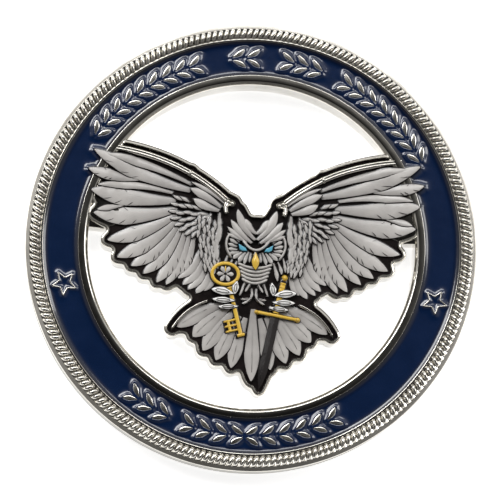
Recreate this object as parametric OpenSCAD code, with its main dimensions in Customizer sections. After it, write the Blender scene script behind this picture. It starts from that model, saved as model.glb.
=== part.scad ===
// Cut-out challenge coin: a ring with a rope edge and an enamelled channel, and across its opening
// an owl with spread wings that carries a key and a dagger. The coin lies on its back.
// +Z is the front, +Y the top of the design. The origin is the centre of the back plane.

/* [Ring] */
// Diameter over the edge
coin_d = 50.8; // [44:0.1:60]
// Thickness over the crest of the rope edge
coin_t = 4; // [3.6:0.1:5]
// Width of the rope band
rope_w = 1.2; // [0.9:0.1:1.5]
// Width of the plain shoulder that slopes down outside the rope
shoulder_w = 0.5; // [0.3:0.05:0.7]
// Width of the plain lip between the rope and the enamel
lip_w = 0.3; // [0.2:0.05:0.5]
// Width of the enamelled channel
channel_w = 3.9; // [3.5:0.1:4.4]
// Width of the polished rim round the opening
rim_w = 1.1; // [0.9:0.1:1.4]

/* [Relief] */
// Height of the rope's crest above the rims
rope_rise = 0.4; // [0.2:0.05:0.5]
// Depth of the enamel channel below the rims
channel_depth = 0.7; // [0.4:0.05:1]
// How far the enamel lies below the rims
enamel_sink = 0.25; // [0.1:0.05:0.35]
// Depth of the sandblasted field on the back
back_depth = 0.35; // [0.2:0.05:0.5]
// Depth of the owl's pocket below the rims
pocket_depth = 1; // [0.8:0.05:1.2]
// Thickness of the black bed in the owl's pocket
bed_t = 0.25; // [0.15:0.05:0.3]
// Thickness of a feather on the bed
feather_t = 0.35; // [0.2:0.05:0.4]

/* [Owl] */
// Width of the raised metal line round the owl
contour_w = 0.4; // [0.3:0.05:0.5]
// Black margin between the feather tips and the raised line
margin_w = 0.4; // [0.3:0.05:0.5]
// Gap between neighbouring feathers
gap = 0.14; // [0.1:0.01:0.18]
// How far the wings' middle line lies right of the coin's centre
wing_shift = 0.2; // [0:0.05:0.4]
// How far the body's middle line lies right of the coin's centre
body_shift = 0.42; // [0.2:0.01:0.6]

/* [Hidden] */

$fn = 48;
nickel = [0.75, 0.74, 0.7];
blue = [0.03, 0.1, 0.28];
black = [0.08, 0.07, 0.07];
grey = [0.63, 0.61, 0.59];
white = [0.93, 0.93, 0.92];
yellow = [0.88, 0.75, 0.28];
cyan = [0.35, 0.65, 0.74];

// Ring radii, from the edge inwards
bevel = 0.2;
edge_r = coin_d / 2;
rope_r1 = edge_r - shoulder_w;
rope_r0 = rope_r1 - rope_w;
channel_r1 = rope_r0 - lip_w;
channel_r0 = channel_r1 - channel_w;
hole_r = channel_r0 - rim_w;
channel_mid_r = (channel_r0 + channel_r1) / 2;

// Levels, from the back plane upwards
rim_z = coin_t - rope_rise;
channel_z = rim_z - channel_depth;
enamel_z = rim_z - enamel_sink;
bed_z0 = rim_z - pocket_depth;
bed_z1 = bed_z0 + bed_t;
feather_z1 = bed_z1 + feather_t;
contour_z = rim_z - bevel / 2;
plate_z0 = bevel;
over = 1;

// The owl is drawn for an opening of this radius and scaled to the real one
drawn_hole_r = 18.4;
k = hole_r / drawn_hole_r;

// A feather is [base, tip, half width, bow]. The bow is to the left of the way to the tip.
primaries = [
    [[7.3, 6.6], [16.9, 9.5], 0.5, 0.4],
    [[7.4, 5.9], [18.4, 9.9], 0.84, -0.45],
    [[13.2, 6.9], [18.9, 7.7], 0.62, -0.25],
    [[9.4, 5.5], [17.7, 5.9], 0.46, 0.45],
    [[9.0, 4.6], [18.5, 5.3], 1, -0.25],
    [[14.6, 3.9], [17.7, 3.1], 0.34, 0.05],
    [[8.8, 3.7], [18.1, 2.7], 1, -0.5]
];
secondaries = [
    [[8.8, 3.1], [16.4, -0.2], 0.84, -0.45],
    [[8.8, 2.5], [15.2, -2.1], 0.86, -0.45],
    [[8.6, 2.0], [13.6, -3.0], 0.8, -0.5],
    [[8.2, 1.8], [12.2, -3.8], 0.74, -0.5],
    [[7.8, 1.4], [10.7, -4.7], 0.72, -0.45],
    [[7.3, 1.2], [9.6, -4.9], 0.62, -0.4],
    [[6.8, 1.0], [8.4, -3.8], 0.6, -0.35]
];
inners = [
    [[5.7, -0.4], [8.3, -4.1], 0.6, -0.4],
    [[5.4, -1.0], [7.7, -4.8], 0.58, -0.4],
    [[5.1, -1.6], [7.1, -5.3], 0.55, -0.35],
    [[4.7, -2.2], [6.2, -5.7], 0.55, -0.3],
    [[4.2, -2.8], [5.4, -5.4], 0.5, -0.2]
];
shoulders = [
    [[3.6, 4.6], [7.3, 6.8], 0.24, 0.2],
    [[3.9, 4.1], [7.4, 6.1], 0.5, 0.15],
    [[4.1, 3.7], [7.0, 4.9], 0.5, -0.15],
    [[4.0, 3.5], [3.9, 0.2], 0.3, 0.05],
    [[4.4, 0.9], [4.05, -2], 0.3, 0.05]
];
tail_side = [
    [[3.4, -6.8], [8.4, -9.6], 0.9, 0.3],
    [[2.8, -7.2], [6.6, -10.6], 1, 0.2],
    [[2.2, -7.6], [5.4, -12.1], 0.95, 0.2],
    [[1.5, -8.0], [3.9, -13.1], 0.9, 0.15],
    [[0.8, -8.2], [2.2, -13.9], 0.8, 0.1]
];
tail_centre = [[0, -7.2], [0.1, -15.3], 0.85, 0];
crown_side = [
    [[0.12, 0.6], [2.2, 3.95], 0.46, -0.35],
    [[0, 1.3], [1.3, 2.9], 0.4, -0.2],
    [[0.5, 0.25], [2.9, 2.7], 0.4, -0.15],
    [[1.05, 0.25], [3.25, 1.9], 0.28, -0.05],
    [[1.7, 0.5], [3.2, 1.2], 0.2, 0]
];
face_side = [
    [[1.9, 0.35], [2.6, 1.1], 0.2, 0],
    [[2.1, 0.1], [2.95, 0.6], 0.2, 0],
    [[2.15, -0.25], [3.1, 0.05], 0.19, 0],
    [[2.1, -0.6], [3.1, -0.5], 0.19, 0],
    [[1.9, -0.85], [2.95, -1.05], 0.2, 0],
    [[1.5, -0.85], [2.5, -1.6], 0.24, 0.05],
    [[1.1, -0.85], [1.9, -2], 0.24, 0.05],
    [[0.75, -0.8], [1.25, -2.2], 0.2, 0.05],
    [[0.5, -0.9], [0.65, -1.95], 0.14, 0]
];
claws = [
    [[1.95, -4.2], [2.15, -5.65], 0.34, 0.05],
    [[2.3, -5.6], [4.75, -5.25], 0.42, 0.05],
    [[2.15, -6.4], [4.6, -6.35], 0.33, 0],
    [[1.75, -7.03], [3.9, -7.18], 0.27, 0]
];
leg_side = [
    [[2.05, -1.9], [2.6, -3.9], 0.2, 0.05],
    [[2.55, -1.75], [3.05, -3.15], 0.17, 0.05],
    [[3.1, -1.3], [3.45, -2.9], 0.16, 0.05],
    [[0.45, -4.4], [1, -5.3], 0.12, 0],
    [[1.05, -4.3], [1.6, -5.75], 0.13, 0],
    [[0.3, -4.9], [0.35, -6.1], 0.13, -0.1],
    [[0.35, -6], [1.25, -6.65], 0.12, -0.08],
    [[0.6, -6.15], [1.4, -6.15], 0.09, 0]
];
flight = concat(primaries, secondaries, inners);
first_secondary = len(primaries);
first_inner = first_secondary + len(secondaries);

// Key and dagger, from the body's middle line
bow_at = [-3.3, -3.4];
bow_size = [1.7, 1.42];
bow_ring_w = 0.44;
key_neck = [-2.8, -4.7];
key_end = [-1.25, -10.2];
shaft_w = 0.55;
foot_half = 0.55;
foot_w = 0.45;
bit_up = 2;
bit_h = 1.45;
bit_out = 1.7;
web_out = 1.05;
web_w = 0.4;
tooth_w = 0.28;
pommel_at = [3.4, -3.55];
pommel_size = [0.36, 0.42];
grip_top = [3.25, -4.1];
grip_end = [2.55, -7.55];
grip_w = 0.8;
guard_left = [0.3, -7.5];
guard_right = [5, -8.2];
guard_w = 0.46;
blade_root = [2.45, -8.1];
blade_tip = [1, -16.1];
blade_w = 1.05;

// Leading edge of the right wing, as a quadratic curve
bar_curve = [[3.1, 4.8], [8.6, 9.7], [16.6, 10.4]];
bar_half_w = 0.28;
bar_knob_at = 0.37;
bar_knob_r = 0.42;
shoulder_curve = [[3.1, 4.8], [3.6, 4.2], [3.2, 3.4]];
shoulder_knob = [2.65, 4.6];

// Raised line along the outer tail feather, from the body's middle line
tail_bar_curve = [[5, -6.5], [7.7, -7.4], [9, -9.9]];
tail_bar_half_w = 0.14;

// ---------------------------------------------------------------- outlines

function quad(c, t) = (1 - t) * (1 - t) * c[0] + 2 * t * (1 - t) * c[1] + t * t * c[2];
function quad_left(c, t) = let (d = (1 - t) * (c[1] - c[0]) + t * (c[2] - c[1])) [-d[1], d[0]] / norm(d);

// Points of a strip of even width along a quadratic curve
function strip(c, half_w, n = 14) = concat(
    [for (i = [0:n]) quad(c, i / n) + half_w * quad_left(c, i / n)],
    [for (i = [n:-1:0]) quad(c, i / n) - half_w * quad_left(c, i / n)]);

// Half width of a feather along its length, 0 at the base and 1 at the tip
function feather_half(t, root, taper) =
    (root + (1 - root) * min(1, t / taper)) * (t < taper ? 1 : pow(1 - pow((t - taper) / (1 - taper), 1.8), 0.75));

function feather_points(f, root = 0.3, taper = 0.62, n = 8) = let (
    way = f[1] - f[0],
    left = [-way[1], way[0]] / norm(way),
    ts = [for (i = [0:n]) sin(90 * i / n)],
    spine = [for (t = ts) f[0] + way * t + left * 4 * f[3] * t * (1 - t)]
) concat(
    [for (i = [0:n]) spine[i] + left * f[2] * feather_half(ts[i], root, taper)],
    [for (i = [n - 1:-1:0]) spine[i] - left * f[2] * feather_half(ts[i], root, taper)]);

module feather(f, root = 0.3, taper = 0.62) polygon(k * feather_points(f, root, taper));

module lens(f) feather(f, root = 0.1, taper = 0.45);

// Feathers that lap: each is cut back by the ones before it
module lapped(fs, first = 0, last = -1) {
    for (i = [first:(last < 0 ? len(fs) - 1 : last)])
        difference() {
            feather(fs[i]);
            if (i > 0)
                offset(delta = gap)
                    for (j = [0:i - 1]) feather(fs[j]);
        }
}

// Straight bar between two points
module bar(a, b, w) {
    way = b - a;
    side = [-way[1], way[0]] / norm(way) * w / 2;
    polygon(k * [a + side, b + side, b - side, a - side]);
}

module ellipse(at, half) polygon([for (i = [0:35]) k * [at[0] + half[0] * cos(10 * i), at[1] + half[1] * sin(10 * i)]]);

module at_wing(side) translate([wing_shift, 0]) mirror([side < 0 ? 1 : 0, 0]) children();
module at_body(side = 1) translate([body_shift, 0]) mirror([side < 0 ? 1 : 0, 0]) children();

// ---------------------------------------------------------------- owl, flat shapes

module bar_shapes() {
    polygon(k * strip(bar_curve, bar_half_w));
    polygon(k * strip(shoulder_curve, bar_half_w, 8));
    for (p = [quad(bar_curve, bar_knob_at), bar_curve[0], shoulder_knob])
        ellipse(p, [bar_knob_r, bar_knob_r]);
}

module tail_bar_shape() polygon(k * strip(tail_bar_curve, tail_bar_half_w));

module shoulder_shapes() difference() {
    lapped(shoulders);
    offset(delta = gap / 2) bar_shapes();
}

module flight_shapes(first, last) difference() {
    lapped(flight, first, last);
    offset(delta = gap) shoulder_shapes();
    offset(delta = gap) covert_shapes();
    offset(delta = gap / 2) bar_shapes();
}

// Small covert feathers: a fan from the shoulder to the roots of the flight feathers,
// and a column beside the body
covert_at = [5, 3.2];
covert_rows = 5;
covert_pitch = 0.17;
covert_top = 36;
covert_bottom = -64;
covert_long = 1;
covert_half_w = 0.21;
column_curve = [[5, 3], [5.4, 0.2], [4.6, -2.8]];
column_rows = 8;
column_lanes = 2;
lane_pitch = 0.6;

covert_far = 4.7;
covert_skew = 40;
covert_count = 9;

// The fan reaches less far towards its lower side
function covert_reach(angle) = covert_far + min(0, angle) / covert_skew;

module covert_row(row) {
    part = 1 - row * covert_pitch;
    count = round(covert_count * part);
    for (i = [0:count - 1]) {
        angle = covert_bottom + (covert_top - covert_bottom) * (i + (row % 2) / 2) / count;
        way = [cos(angle), sin(angle)];
        tip = covert_at + part * covert_reach(angle) * way;
        lens([tip - covert_long * way, tip, covert_half_w, 0]);
    }
}

module column_row(row) {
    for (lane = [-column_lanes:column_lanes]) {
        t = (row + 0.5 * (abs(lane) % 2)) / column_rows;
        left = quad_left(column_curve, t);
        base = quad(column_curve, t) + lane * lane_pitch * (1 - 0.5 * t) * left;
        lens([base, base + covert_long * [left[1], -left[0]], covert_half_w, 0]);
    }
}

module covert_shapes() {
    for (row = [0:covert_rows - 1])
        difference() {
            covert_row(row);
            offset(delta = gap / 2) {
                if (row < covert_rows - 1)
                    covert_row(row + 1);
                column_row(0);
            }
        }
    for (row = [0:column_rows - 1])
        difference() {
            column_row(row);
            if (row > 0)
                offset(delta = gap / 2) column_row(row - 1);
        }
}

module key_shape() {
    difference() {
        ellipse(bow_at, bow_size);
        ellipse(bow_at, bow_size - [bow_ring_w, bow_ring_w]);
    }
    difference() {
        bar(key_neck, key_end, shaft_w);
        ellipse(bow_at, bow_size - [bow_ring_w / 2, bow_ring_w / 2]);
    }
    way = (key_end - key_neck) / norm(key_end - key_neck);
    across = [way[1], -way[0]];
    bar(key_end - foot_half * across, key_end + foot_half * across, foot_w);
    web = key_end - bit_up * way + web_out * across;
    bar(web, web + bit_h * way, web_w);
    for (tooth = [0:2]) {
        root = key_end - (bit_up - tooth * (bit_h - tooth_w) / 2 - tooth_w / 2) * way;
        bar(root, root + bit_out * across, tooth_w);
    }
}

module rosette_shape() {
    for (i = [0:5])
        feather([bow_at + 0.2 * [cos(60 * i), sin(60 * i)], bow_at + 0.85 * [cos(60 * i), sin(60 * i)], 0.2, 0]);
}

module pommel_shape() ellipse(pommel_at, pommel_size);
module grip_shape() bar(grip_top, grip_end, grip_w);
module guard_shape() {
    bar(guard_left, guard_right, guard_w);
    ellipse(guard_right, [0.35, 0.35]);
}
module blade_shape() {
    way = (blade_tip - blade_root) / norm(blade_tip - blade_root);
    side = [-way[1], way[0]] * blade_w / 2;
    shoulder = blade_tip - 2.6 * way;
    polygon(k * [blade_root + side, shoulder + side, blade_tip, shoulder - side, blade_root - side]);
}

module held_shapes() {
    key_shape();
    ellipse(bow_at, bow_size);
    pommel_shape();
    grip_shape();
    guard_shape();
    blade_shape();
}

module claw_shapes() for (c = claws) lens(c);

// What lies in front of the tail, legs, breast and wings, with a gap round it
module front_mask() at_body() offset(delta = gap) {
    held_shapes();
    for (side = [-1, 1])
        mirror([side < 0 ? 1 : 0, 0]) claw_shapes();
}

module beak_shape() lens([[0, -0.85], [0.05, -2.8], 0.42, 0]);
module eye_shape() polygon(k * [[0.95, -0.68], [1.15, -0.38], [1.95, 0.1], [1.8, -0.55], [1.45, -0.72]]);
module brow_shape() polygon(k * strip([[-1.7, 0.85], [0, -1.95], [1.7, 0.85]], 0.17));
module face_rim_shape() polygon(k * strip([[2.9, 1.3], [3.9, 0], [2.6, -1.6]], 0.14));

// Curved bands of down on the breast, narrower towards the legs
breast_rows = 5;
breast_top = -2.5;
breast_pitch = 0.43;
breast_half = 2.05;
breast_narrowing = 0.14;
breast_rise = 0.5;
breast_dip = 0.6;
breast_half_w = 0.13;

module breast_shapes() difference() {
    for (row = [0:breast_rows - 1]) {
        y = breast_top - breast_pitch * row;
        half = breast_half - breast_narrowing * row;
        polygon(k * strip([[-half, y + breast_rise], [0, y - breast_dip], [half, y + breast_rise]], breast_half_w));
    }
    offset(delta = gap) beak_shape();
}

module crown_shapes() difference() {
    lapped(crown_side);
    offset(delta = gap / 2) {
        brow_shape();
        eye_shape();
    }
}

// Solid middle of the owl, between the wings and down to the tail
module torso_shape() polygon(k * [[-3.6, 3.7], [-2.4, 4.1], [-1.9, 4.1], [-1.1, 2.7], [1.1, 2.7], [1.9, 4.1], [2.4, 4.1], [3.6, 3.7],
                                  [6.6, 2], [6.2, -4.6], [4.8, -7], [3, -9], [-3, -9], [-4.8, -7],
                                  [-6.2, -4.6], [-6.6, 2]]);

module wing_silhouette() {
    for (f = flight) feather(f);
    bar_shapes();
    polygon(k * [[3, 4.3], [7.3, 7.2], [12, 8.4], [10, 2], [5, -4], [3, -4]]);
}

module tail_silhouette() {
    for (side = [-1, 1])
        mirror([side < 0 ? 1 : 0, 0]) {
            for (f = tail_side) feather(f);
            tail_bar_shape();
        }
    feather(tail_centre);
    blade_shape();
}

module owl_silhouette() {
    for (side = [-1, 1]) at_wing(side) wing_silhouette();
    at_body() {
        torso_shape();
        tail_silhouette();
    }
}

// Outer outline of the owl: round lobes outside, filled notches inside
notch_fill = 0.3;
module plate_shape() offset(r = -notch_fill) offset(r = margin_w + contour_w + notch_fill, $fn = 24) owl_silhouette();

// Pocket for the black bed. The leading edges of the wings stand up in it.
module bed_shape() difference() {
    intersection() {
        offset(delta = -contour_w) plate_shape();
        circle(r = hole_r, $fn = 180);
    }
    for (side = [-1, 1]) {
        at_wing(side) bar_shapes();
        at_body(side) tail_bar_shape();
    }
}

// Plates that join the wing tips to the ring
module web_shape() polygon(k * [[15, 1.8], [17, 1.1], [19.3, 1.2], [19.3, 9.6], [16.5, 9.6]]);

module wing_tips() intersection() {
    offset(delta = gap) for (f = primaries) feather(f);
    circle(r = channel_r1);
}

// ---------------------------------------------------------------- ornament in the channel

// A laurel spray of paired leaves stands where a legend would be
leaf_long = 2;
leaf_half_w = 0.36;
leaf_spread = 34;
leaf_root = 0.1;

// A group is [pairs, angle of the first pair from the middle of the spray], from left to right
top_groups = [[9, -55], [2, -6], [3, 8], [8, 27]];
bottom_groups = [[3, -36], [10, -17.6]];
top_step = 4.45;
bottom_step = 5.05;

module leaf_pair(turn) {
    for (s = [-1, 1])
        rotate(turn + s * leaf_spread)
            polygon(feather_points([[leaf_root, leaf_root * s], [leaf_long, 0], leaf_half_w, -leaf_root * s], 0.25, 0.5));
}

// The leaves point up along the ring on both sides
module spray(groups, step, start, way) {
    for (g = groups, i = [0:g[0] - 1]) {
        angle = g[1] + i * step;
        rotate(start + way * angle)
            translate([sign(angle) * leaf_long / 2, channel_mid_r])
                leaf_pair(angle < 0 ? 0 : 180);
    }
}

star_r = 1.5;
star_waist = 0.45;
star_angle = 14.6;
module star_shape() polygon([for (i = [0:9]) star_r * (i % 2 == 0 ? 1 : star_waist) * [sin(36 * i), cos(36 * i)]]);

module ornament_shapes() {
    spray(top_groups, top_step, 0, -1);
    spray(bottom_groups, bottom_step, 180, 1);
    for (side = [-1, 1])
        rotate(-side * (90 + star_angle))
            translate([0, channel_mid_r])
                star_shape();
}

// ---------------------------------------------------------------- pieces

crown_steps = 6;
function rope_crest(t) = [rope_r1 - rope_w * t, rim_z + rope_rise * sin(180 * t)];

module ring_body() rotate_extrude($fn = 180) polygon(concat(
    [[hole_r, bevel], [hole_r + bevel, 0], [channel_r0, 0], [channel_r0, back_depth],
     [rope_r0, back_depth], [rope_r0, 0], [edge_r - bevel, 0], [edge_r, bevel], [edge_r, rim_z - shoulder_w]],
    [for (i = [0:crown_steps]) rope_crest(i / crown_steps)],
    [[channel_r1, rim_z], [channel_r1, channel_z], [channel_r0, channel_z], [channel_r0, rim_z],
     [hole_r + bevel, rim_z], [hole_r, rim_z - bevel]]));

module slab(z0, z1) translate([0, 0, z0]) linear_extrude(z1 - z0) children();

// Colour fills on the bed. What is left too thin to hold a fill is trimmed away.
thinnest = 0.1;
trim_slack = 0.01;
module on_bed() slab(bed_z1, feather_z1) intersection() {
    children();
    offset(delta = thinnest / 2 + trim_slack) offset(delta = -thinnest / 2) children();
}

module coin_casting() color(nickel) difference() {
    union() {
        ring_body();
        slab(channel_z - bevel, rim_z - enamel_sink / 4) ornament_shapes();
        slab(plate_z0, contour_z) intersection() {
            plate_shape();
            circle(r = channel_r0, $fn = 180);
        }
        slab(plate_z0, contour_z) intersection() {
            for (side = [-1, 1]) at_wing(side) web_shape();
            circle(r = channel_r0, $fn = 180);
        }
        slab(channel_z - bevel, contour_z) for (side = [-1, 1]) at_wing(side) wing_tips();
    }
    slab(bed_z0, coin_t + over) bed_shape();
    slab(bed_z1, coin_t + over) for (side = [-1, 1]) at_wing(side) for (f = primaries) feather(f);
    slab(-over, plate_z0 + back_depth) intersection() {
        offset(delta = -contour_w) plate_shape();
        circle(r = hole_r - rim_w, $fn = 180);
    }
}

module ring_enamel() color(blue) slab(channel_z, enamel_z) difference() {
    circle(r = channel_r1, $fn = 180);
    circle(r = channel_r0, $fn = 180);
    ornament_shapes();
    for (side = [-1, 1]) at_wing(side) wing_tips();
}

module owl_black_bed() color(black) slab(bed_z0, bed_z1) bed_shape();

module flight_feathers(side, first, last) color(grey) on_bed() difference() {
    at_wing(side) flight_shapes(first, last);
    front_mask();
}

module right_primary_feathers() flight_feathers(1, 0, first_secondary - 1);
module left_primary_feathers() flight_feathers(-1, 0, first_secondary - 1);
module right_secondary_feathers() flight_feathers(1, first_secondary, first_inner - 1);
module left_secondary_feathers() flight_feathers(-1, first_secondary, first_inner - 1);
module right_inner_feathers() flight_feathers(1, first_inner, len(flight) - 1);
module left_inner_feathers() flight_feathers(-1, first_inner, len(flight) - 1);

module covert_feathers(side) color(grey) on_bed() difference() {
    at_wing(side) difference() {
        covert_shapes();
        offset(delta = gap) shoulder_shapes();
    }
    front_mask();
}

module right_covert_feathers() covert_feathers(1);
module left_covert_feathers() covert_feathers(-1);
module shoulder_feathers(side) color(grey) on_bed() difference() {
    at_wing(side) shoulder_shapes();
    front_mask();
}
module right_shoulder_feathers() shoulder_feathers(1);
module left_shoulder_feathers() shoulder_feathers(-1);

module tail_feathers(side) color(grey) on_bed() difference() {
    at_body(side) difference() {
        lapped(tail_side);
        offset(delta = gap) feather(tail_centre);
        offset(delta = gap / 2) tail_bar_shape();
    }
    front_mask();
}

module right_tail_feathers() tail_feathers(1);
module left_tail_feathers() tail_feathers(-1);
module centre_tail_feather() color(grey) on_bed() difference() {
    at_body() feather(tail_centre);
    front_mask();
}

module crown_feathers() color(grey) on_bed() difference() {
    for (side = [-1, 1]) at_body(side) crown_shapes();
    offset(delta = gap) for (side = [-1, 1]) at_wing(side) bar_shapes();
}
module brow_band() color(grey) on_bed() at_body() brow_shape();
module face_feathers() color(grey) on_bed() for (side = [-1, 1]) at_body(side) difference() {
    lapped(face_side);
    offset(delta = gap / 2) {
        beak_shape();
        eye_shape();
        face_rim_shape();
        lapped(crown_side);
    }
}
module right_face_rim() color(grey) on_bed() at_body(1) face_rim_shape();
module left_face_rim() color(grey) on_bed() at_body(-1) face_rim_shape();
module right_eye() color(cyan) on_bed() at_body(1) eye_shape();
module left_eye() color(cyan) on_bed() at_body(-1) eye_shape();
module beak() color(yellow) on_bed() at_body() beak_shape();
module breast_feathers() color(grey) on_bed() difference() {
    at_body() breast_shapes();
    front_mask();
}

module talons(side) color(white) on_bed() at_body(side) claw_shapes();
module right_talons() talons(1);
module left_talons() talons(-1);
module leg_feathers(side) color(grey) on_bed() difference() {
    at_body(side) difference() {
        for (f = leg_side) lens(f);
        offset(delta = gap) {
            breast_shapes();
            face_rim_shape();
            lapped(face_side);
        }
    }
    front_mask();
    offset(delta = gap) at_wing(side) {
        shoulder_shapes();
        covert_shapes();
    }
}
module right_leg_feathers() leg_feathers(1);
module left_leg_feathers() leg_feathers(-1);

// A held piece is cut back where a claw closes over it
module held() on_bed() at_body() difference() {
    children();
    for (side = [-1, 1])
        mirror([side < 0 ? 1 : 0, 0]) offset(delta = gap) claw_shapes();
}

module key() color(yellow) held() key_shape();
module key_rosette() color(grey) on_bed() at_body() rosette_shape();
module dagger_pommel() color(yellow) held() pommel_shape();
module dagger_grip() color(yellow) held() difference() {
    grip_shape();
    offset(delta = gap) {
        pommel_shape();
        guard_shape();
    }
}
module dagger_guard() color(yellow) held() guard_shape();
module dagger_blade() color(black) held() difference() {
    blade_shape();
    offset(delta = gap) guard_shape();
}

coin_casting();
ring_enamel();
owl_black_bed();
right_primary_feathers();
left_primary_feathers();
right_secondary_feathers();
left_secondary_feathers();
right_inner_feathers();
left_inner_feathers();
right_covert_feathers();
left_covert_feathers();
right_shoulder_feathers();
left_shoulder_feathers();
right_tail_feathers();
left_tail_feathers();
centre_tail_feather();
crown_feathers();
brow_band();
face_feathers();
right_face_rim();
left_face_rim();
right_eye();
left_eye();
beak();
breast_feathers();
right_talons();
left_talons();
right_leg_feathers();
left_leg_feathers();
key();
key_rosette();
dagger_pommel();
dagger_grip();
dagger_guard();
dagger_blade();
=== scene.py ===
"""Cut-out challenge coin: a ring with a rope edge and an enamelled channel, and across its opening an owl
with spread wings that carries a key and a dagger. It lies on its back: +Z is the front, +Y the top."""

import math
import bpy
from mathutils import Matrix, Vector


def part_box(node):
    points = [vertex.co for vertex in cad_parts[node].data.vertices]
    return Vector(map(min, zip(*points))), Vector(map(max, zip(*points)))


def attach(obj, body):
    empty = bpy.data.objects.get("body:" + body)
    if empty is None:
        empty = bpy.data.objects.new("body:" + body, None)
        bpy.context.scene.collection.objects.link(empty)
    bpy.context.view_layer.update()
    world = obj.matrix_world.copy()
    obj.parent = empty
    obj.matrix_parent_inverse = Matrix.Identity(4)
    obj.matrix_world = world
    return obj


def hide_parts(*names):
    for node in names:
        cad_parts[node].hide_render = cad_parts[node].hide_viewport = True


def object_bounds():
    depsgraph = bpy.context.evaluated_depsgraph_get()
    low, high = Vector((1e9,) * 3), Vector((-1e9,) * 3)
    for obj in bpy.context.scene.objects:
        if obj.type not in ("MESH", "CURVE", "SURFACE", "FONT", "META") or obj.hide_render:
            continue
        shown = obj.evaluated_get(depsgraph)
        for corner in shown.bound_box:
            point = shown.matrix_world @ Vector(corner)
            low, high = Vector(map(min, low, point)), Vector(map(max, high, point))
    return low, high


bl_info = {
    "name": "Owl Challenge Coin",
    "version": (1, 0, 0),
    "blender": (4, 5, 0),
    "location": "3D View > Sidebar > Coin",
    "description": "Models an enamelled cut-out coin piece by piece round its packed frame",
    "category": "Add Mesh",
}

import bmesh
import bpy
import numpy as np
from bpy.props import FloatProperty, FloatVectorProperty, IntProperty, PointerProperty
from mathutils import Matrix, Vector
from mathutils.kdtree import KDTree

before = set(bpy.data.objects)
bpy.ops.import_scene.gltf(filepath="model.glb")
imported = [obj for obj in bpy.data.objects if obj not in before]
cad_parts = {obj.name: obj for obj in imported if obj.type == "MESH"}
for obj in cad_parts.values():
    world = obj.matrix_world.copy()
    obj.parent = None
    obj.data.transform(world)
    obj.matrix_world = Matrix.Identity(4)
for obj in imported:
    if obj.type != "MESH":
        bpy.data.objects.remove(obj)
CAD_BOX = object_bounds()
EDGE_R = CAD_BOX[1][0]
CREST_Z = CAD_BOX[1][2]
BED_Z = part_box("owl_black_bed")[1].z
ENAMEL_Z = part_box("ring_enamel")[1].z

MM = 0.001
TURN = 2 * math.pi

# Where the camera looks, in millimetres: a height over the table, then how far to the left and down.
AIM_HEIGHT, AIM_LEFT, AIM_DOWN = 3.6, 0.27, 0.58

# ------------------------------------------------------------------ the design, in millimetres

# A feather is (base, tip, half width, bow). The bow is to the left of the way to the tip.
PRIMARIES = [
    ((7.3, 6.6), (16.9, 9.5), 0.5, 0.4),
    ((7.4, 5.9), (18.4, 9.9), 0.84, -0.45),
    ((13.2, 6.9), (18.9, 7.7), 0.62, -0.25),
    ((9.4, 5.5), (17.7, 5.9), 0.46, 0.45),
    ((9.0, 4.6), (18.5, 5.3), 1, -0.25),
    ((14.6, 3.9), (17.7, 3.1), 0.34, 0.05),
    ((8.8, 3.7), (18.1, 2.7), 1, -0.5),
]
SECONDARIES = [
    ((8.8, 3.1), (16.4, -0.2), 0.84, -0.45),
    ((8.8, 2.5), (15.2, -2.1), 0.86, -0.45),
    ((8.6, 2.0), (13.6, -3.0), 0.8, -0.5),
    ((8.2, 1.8), (12.2, -3.8), 0.74, -0.5),
    ((7.8, 1.4), (10.7, -4.7), 0.72, -0.45),
    ((7.3, 1.2), (9.6, -4.9), 0.62, -0.4),
    ((6.8, 1.0), (8.4, -3.8), 0.6, -0.35),
]
INNERS = [
    ((5.7, -0.4), (8.3, -4.1), 0.6, -0.4),
    ((5.4, -1.0), (7.7, -4.8), 0.58, -0.4),
    ((5.1, -1.6), (7.1, -5.3), 0.55, -0.35),
    ((4.7, -2.2), (6.2, -5.7), 0.55, -0.3),
    ((4.2, -2.8), (5.4, -5.4), 0.5, -0.2),
]
SHOULDERS = [
    ((3.6, 4.6), (7.3, 6.8), 0.24, 0.2),
    ((3.9, 4.1), (7.4, 6.1), 0.5, 0.15),
    ((4.1, 3.7), (7.0, 4.9), 0.5, -0.15),
    ((4.0, 3.5), (3.9, 0.2), 0.3, 0.05),
    ((4.4, 0.9), (4.05, -2), 0.3, 0.05),
]
TAIL_SIDE = [
    ((3.4, -6.8), (8.4, -9.6), 0.9, 0.3),
    ((2.8, -7.2), (6.6, -10.6), 1, 0.2),
    ((2.2, -7.6), (5.4, -12.1), 0.95, 0.2),
    ((1.5, -8.0), (3.9, -13.1), 0.9, 0.15),
    ((0.8, -8.2), (2.2, -13.9), 0.8, 0.1),
]
TAIL_CENTRE = ((0, -7.2), (0.1, -15.3), 0.85, 0)
CROWN = [
    ((0.12, 0.6), (2.2, 3.95), 0.46, -0.35),
    ((0, 1.3), (1.3, 2.9), 0.4, -0.2),
    ((0.5, 0.25), (2.9, 2.7), 0.4, -0.15),
    ((1.05, 0.25), (3.25, 1.9), 0.28, -0.05),
    ((1.7, 0.5), (3.2, 1.2), 0.2, 0),
]
FACE = [
    ((1.9, 0.35), (2.6, 1.1), 0.2, 0),
    ((2.1, 0.1), (2.95, 0.6), 0.2, 0),
    ((2.15, -0.25), (3.1, 0.05), 0.19, 0),
    ((2.1, -0.6), (3.1, -0.5), 0.19, 0),
    ((1.9, -0.85), (2.95, -1.05), 0.2, 0),
    ((1.5, -0.85), (2.5, -1.6), 0.24, 0.05),
    ((1.1, -0.85), (1.9, -2), 0.24, 0.05),
    ((0.75, -0.8), (1.25, -2.2), 0.2, 0.05),
    ((0.5, -0.9), (0.65, -1.95), 0.14, 0),
]
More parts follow.
